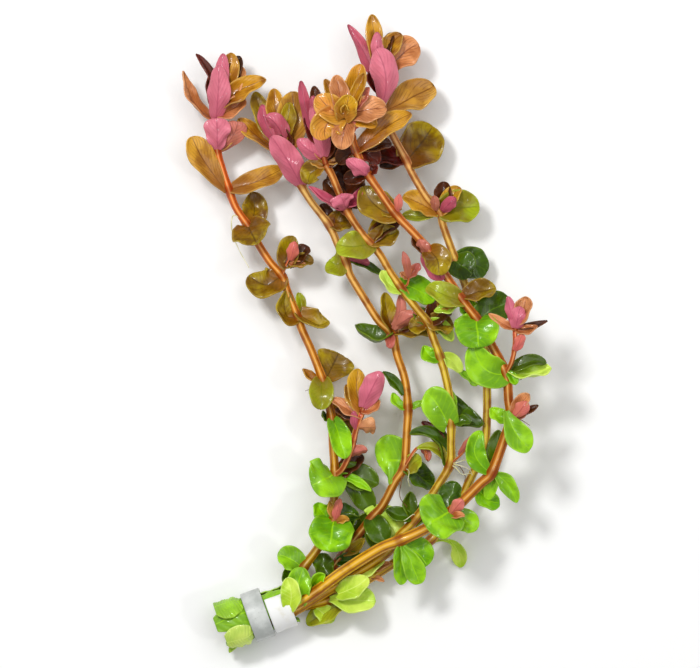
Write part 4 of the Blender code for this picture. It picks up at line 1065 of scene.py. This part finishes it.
def make_stalks():
    mesh = Mesh()
    for node, radius, *steps in STALKS:
        points = smooth_curve([places[node][0], *steps], SHOOT_STEP)
        add_shoot(mesh, points, radius, STALK_LOSS, STALK_SIDES, 0, YOUNG_STEM)
    mesh.piece("stalks")


def make_threads():
    tones = {
        "pale": thread_material("pale", (236, 232, 196), (206, 200, 140)),
        "dark": thread_material("dark", (130, 84, 48), (84, 52, 30)),
    }
    mesh = Mesh()
    for tone, node, radius, *steps in THREADS:
        points = smooth_curve([places[node][0], *steps], SHOOT_STEP)
        add_shoot(mesh, points, radius, THREAD_LOSS, THREAD_SIDES, 0, tones[tone])
    mesh.piece("root_threads")


def make_large_leaves():
    for name, leaf in LARGE_LEAVES.items():
        mesh = Mesh()
        add_leaf(mesh, leaf, seed(name))
        piece = mesh.piece(f"blade_{name}")
        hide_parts(f"leaf_{name}")


def make_leaf_groups():
    """Each group of small leaves becomes one piece, in the place of its node where there is one."""
    for name, leaves in LEAF_GROUPS.items():
        mesh = Mesh()
        for k, leaf in enumerate(leaves):
            add_leaf(mesh, leaf, seed(f"{name} {k}"))
        piece = mesh.piece(f"young_{name}")
        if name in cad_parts:
            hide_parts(name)


def make_base_leaf(name, middle, half_angle, start, end, height, flare, tone):
    """A piece of leaf that wraps the stems round the band's axis, from one place along it to another."""
    source = seed(name)
    phase = source.uniform(0, 1)
    rows, columns = BASE_GRID
    share = np.linspace(0, 1, rows + 1)
    place = np.linspace(-1, 1, columns + 1)
    sheet = np.zeros((rows + 1, columns + 1, 3))
    for i, t in enumerate(share):
        along = start + (end - start) * t
        reach = np.interp(along, BASE_LEAF_PLACES, BASE_LEAF_REACH) + height + flare * (1 - t) ** 1.5
        fullness = max(0.25, math.sin(math.pi * (0.07 + 0.86 * t)) ** 0.36)
        for j, u in enumerate(place):
            ripple = 0.10 * math.cos(math.tau * (9 * t - 1.2 * abs(u)))
            ripple += 0.22 * abs(u) ** 3 * math.sin(math.tau * (3 * t + phase))
            sheet[i, j] = band_point(along, reach + ripple, middle + half_angle * fullness * u)
    values = np.stack(np.broadcast_arrays(place[None], share[:, None], source.uniform(0, 1)), axis=-1)
    mesh = Mesh()
    add_sheet(mesh, sheet, values, tone)
    piece = mesh.piece(f"blade_{name}")
    if f"leaf_{name}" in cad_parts:
        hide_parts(f"leaf_{name}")


def make_band():
    """The ring that holds the bunch, with rounded rims."""
    low = BAND_END - BAND_WIDTH + BAND_ROUNDING
    high = BAND_END - BAND_ROUNDING
    outer = BAND_OUTER_RADIUS - BAND_ROUNDING
    inner = BAND_INNER_RADIUS + BAND_ROUNDING
    profile = []
    for along, out, first in ((high, outer, 90), (high, inner, 0), (low, inner, -90), (low, outer, 180)):
        for k in range(ROUNDING_STEPS + 1):
            angle = math.radians(first - 90 * k / ROUNDING_STEPS)
            profile.append((along + BAND_ROUNDING * math.cos(angle), out + BAND_ROUNDING * math.sin(angle)))
    add_ring("ring_grey", profile, 0, 360, BAND_SIDES, True, band_material(), "band_grey")


def make_strip():
    """The strip wrapped most of the way round, open where the base leaf comes out."""
    low = STRIP_END
    high = STRIP_END + STRIP_WIDTH
    bevel = STRIP_OUTER_RADIUS - STRIP_BEVEL
    profile = [(low, STRIP_INNER_RADIUS), (high, STRIP_INNER_RADIUS), (high + STRIP_BULGE, bevel)]
    profile.append((high, STRIP_OUTER_RADIUS))
    for share in (k / WAVE_STEPS for k in range(1, WAVE_STEPS)):
        wave = STRIP_WAVE * math.sin(math.tau * STRIP_WAVES * share)
        profile.append((high - STRIP_WIDTH * share, STRIP_OUTER_RADIUS + wave))
    profile += [(low, STRIP_OUTER_RADIUS), (low - STRIP_BULGE, bevel)]
    surface = strip_material()
    add_ring("wrap_white", profile, STRIP_START, -STRIP_TURN, STRIP_STEPS, False, surface, "strip_white")


def add_ring(name, profile, start, turn, steps, closed, material, node):
    """A profile of (along the axis, distance from it) turned about the band's axis."""
    size = len(profile)
    count = steps if closed else steps + 1
    points = []
    values = []
    for i in range(count):
        for along, radius in profile:
            points.append(band_point(along, radius, start + turn * i / steps))
            values.append((i / steps, along, 0))
    faces = grid_faces(count, size, closed, True)
    if not closed:
        faces.append(tuple(range(size))[::-1])
        faces.append(tuple(range(steps * size, (steps + 1) * size)))
    mesh = Mesh()
    mesh.add(points, faces, [mesh.slot(material)] * len(faces), values)
    piece = mesh.piece(name)
    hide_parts(node)


def make_floor():
    size = 3.0
    corners = [(-size, -size, 0), (size, -size, 0), (size, size, 0), (-size, size, 0)]
    mesh = bpy.data.meshes.new("floor")
    mesh.from_pydata(corners, [], [(0, 1, 2, 3)])
    mesh.materials.append(floor_material())
    floor = new_object("floor", mesh)


def area_light(name, place, size, power):
    """A rectangular light that looks at the middle of the bunch."""
    lamp = bpy.data.lights.new(name, "AREA")
    lamp.shape = "RECTANGLE"
    lamp.size, lamp.size_y = size
    lamp.energy = power
    light = new_object(name, lamp)
    light.location = place
    light.rotation_euler = (-Vector(place)).to_track_quat("-Z", "Y").to_euler()


def make_lights():
    area_light("overhead", (0.1, 0.3, 1.1), (1.1, 0.8), 5)
    area_light("key", (-0.35, 0.4, 0.9), (0.2, 0.15), 5.5)
    area_light("fill", (0.6, -0.3, 0.8), (0.12, 0.1), 1)
    world = bpy.data.worlds.new("studio")
    world.use_nodes = True
    background = world.node_tree.nodes["Background"]
    background.inputs["Color"].default_value = (1.0, 1.0, 1.0, 1.0)
    background.inputs["Strength"].default_value = 0.36
    bpy.context.scene.world = world
    bpy.context.scene.view_settings.view_transform = "Standard"


def make_camera():
    """Straight above the bunch, which lies down here and stands in the photograph."""
    sensor = 0.036
    view_width = 0.21
    middle_height = 0.012
    distance = 3.0
    lens = bpy.data.cameras.new("camera")
    lens.sensor_width = sensor / MM
    lens.lens = sensor / view_width * distance / MM
    lens.clip_end = 20
    camera = new_object("camera", lens)
    camera.location = (-0.0054, -0.0017, middle_height + distance)
    bpy.context.scene.camera = camera


places = node_places()
leaf_materials = {(name, under): leaf_material(name, under) for name in TONES for under in (False, True)}
YOUNG_STEM = stem_material("young", (190, 96, 52), (214, 110, 66), (222, 100, 70))

make_camera()
make_stems()
make_branches()
make_tips()
make_stalks()
make_threads()
make_large_leaves()
make_leaf_groups()
for row in BASE_LEAVES:
    make_base_leaf(*row)
make_band()
make_strip()
make_floor()
make_lights()
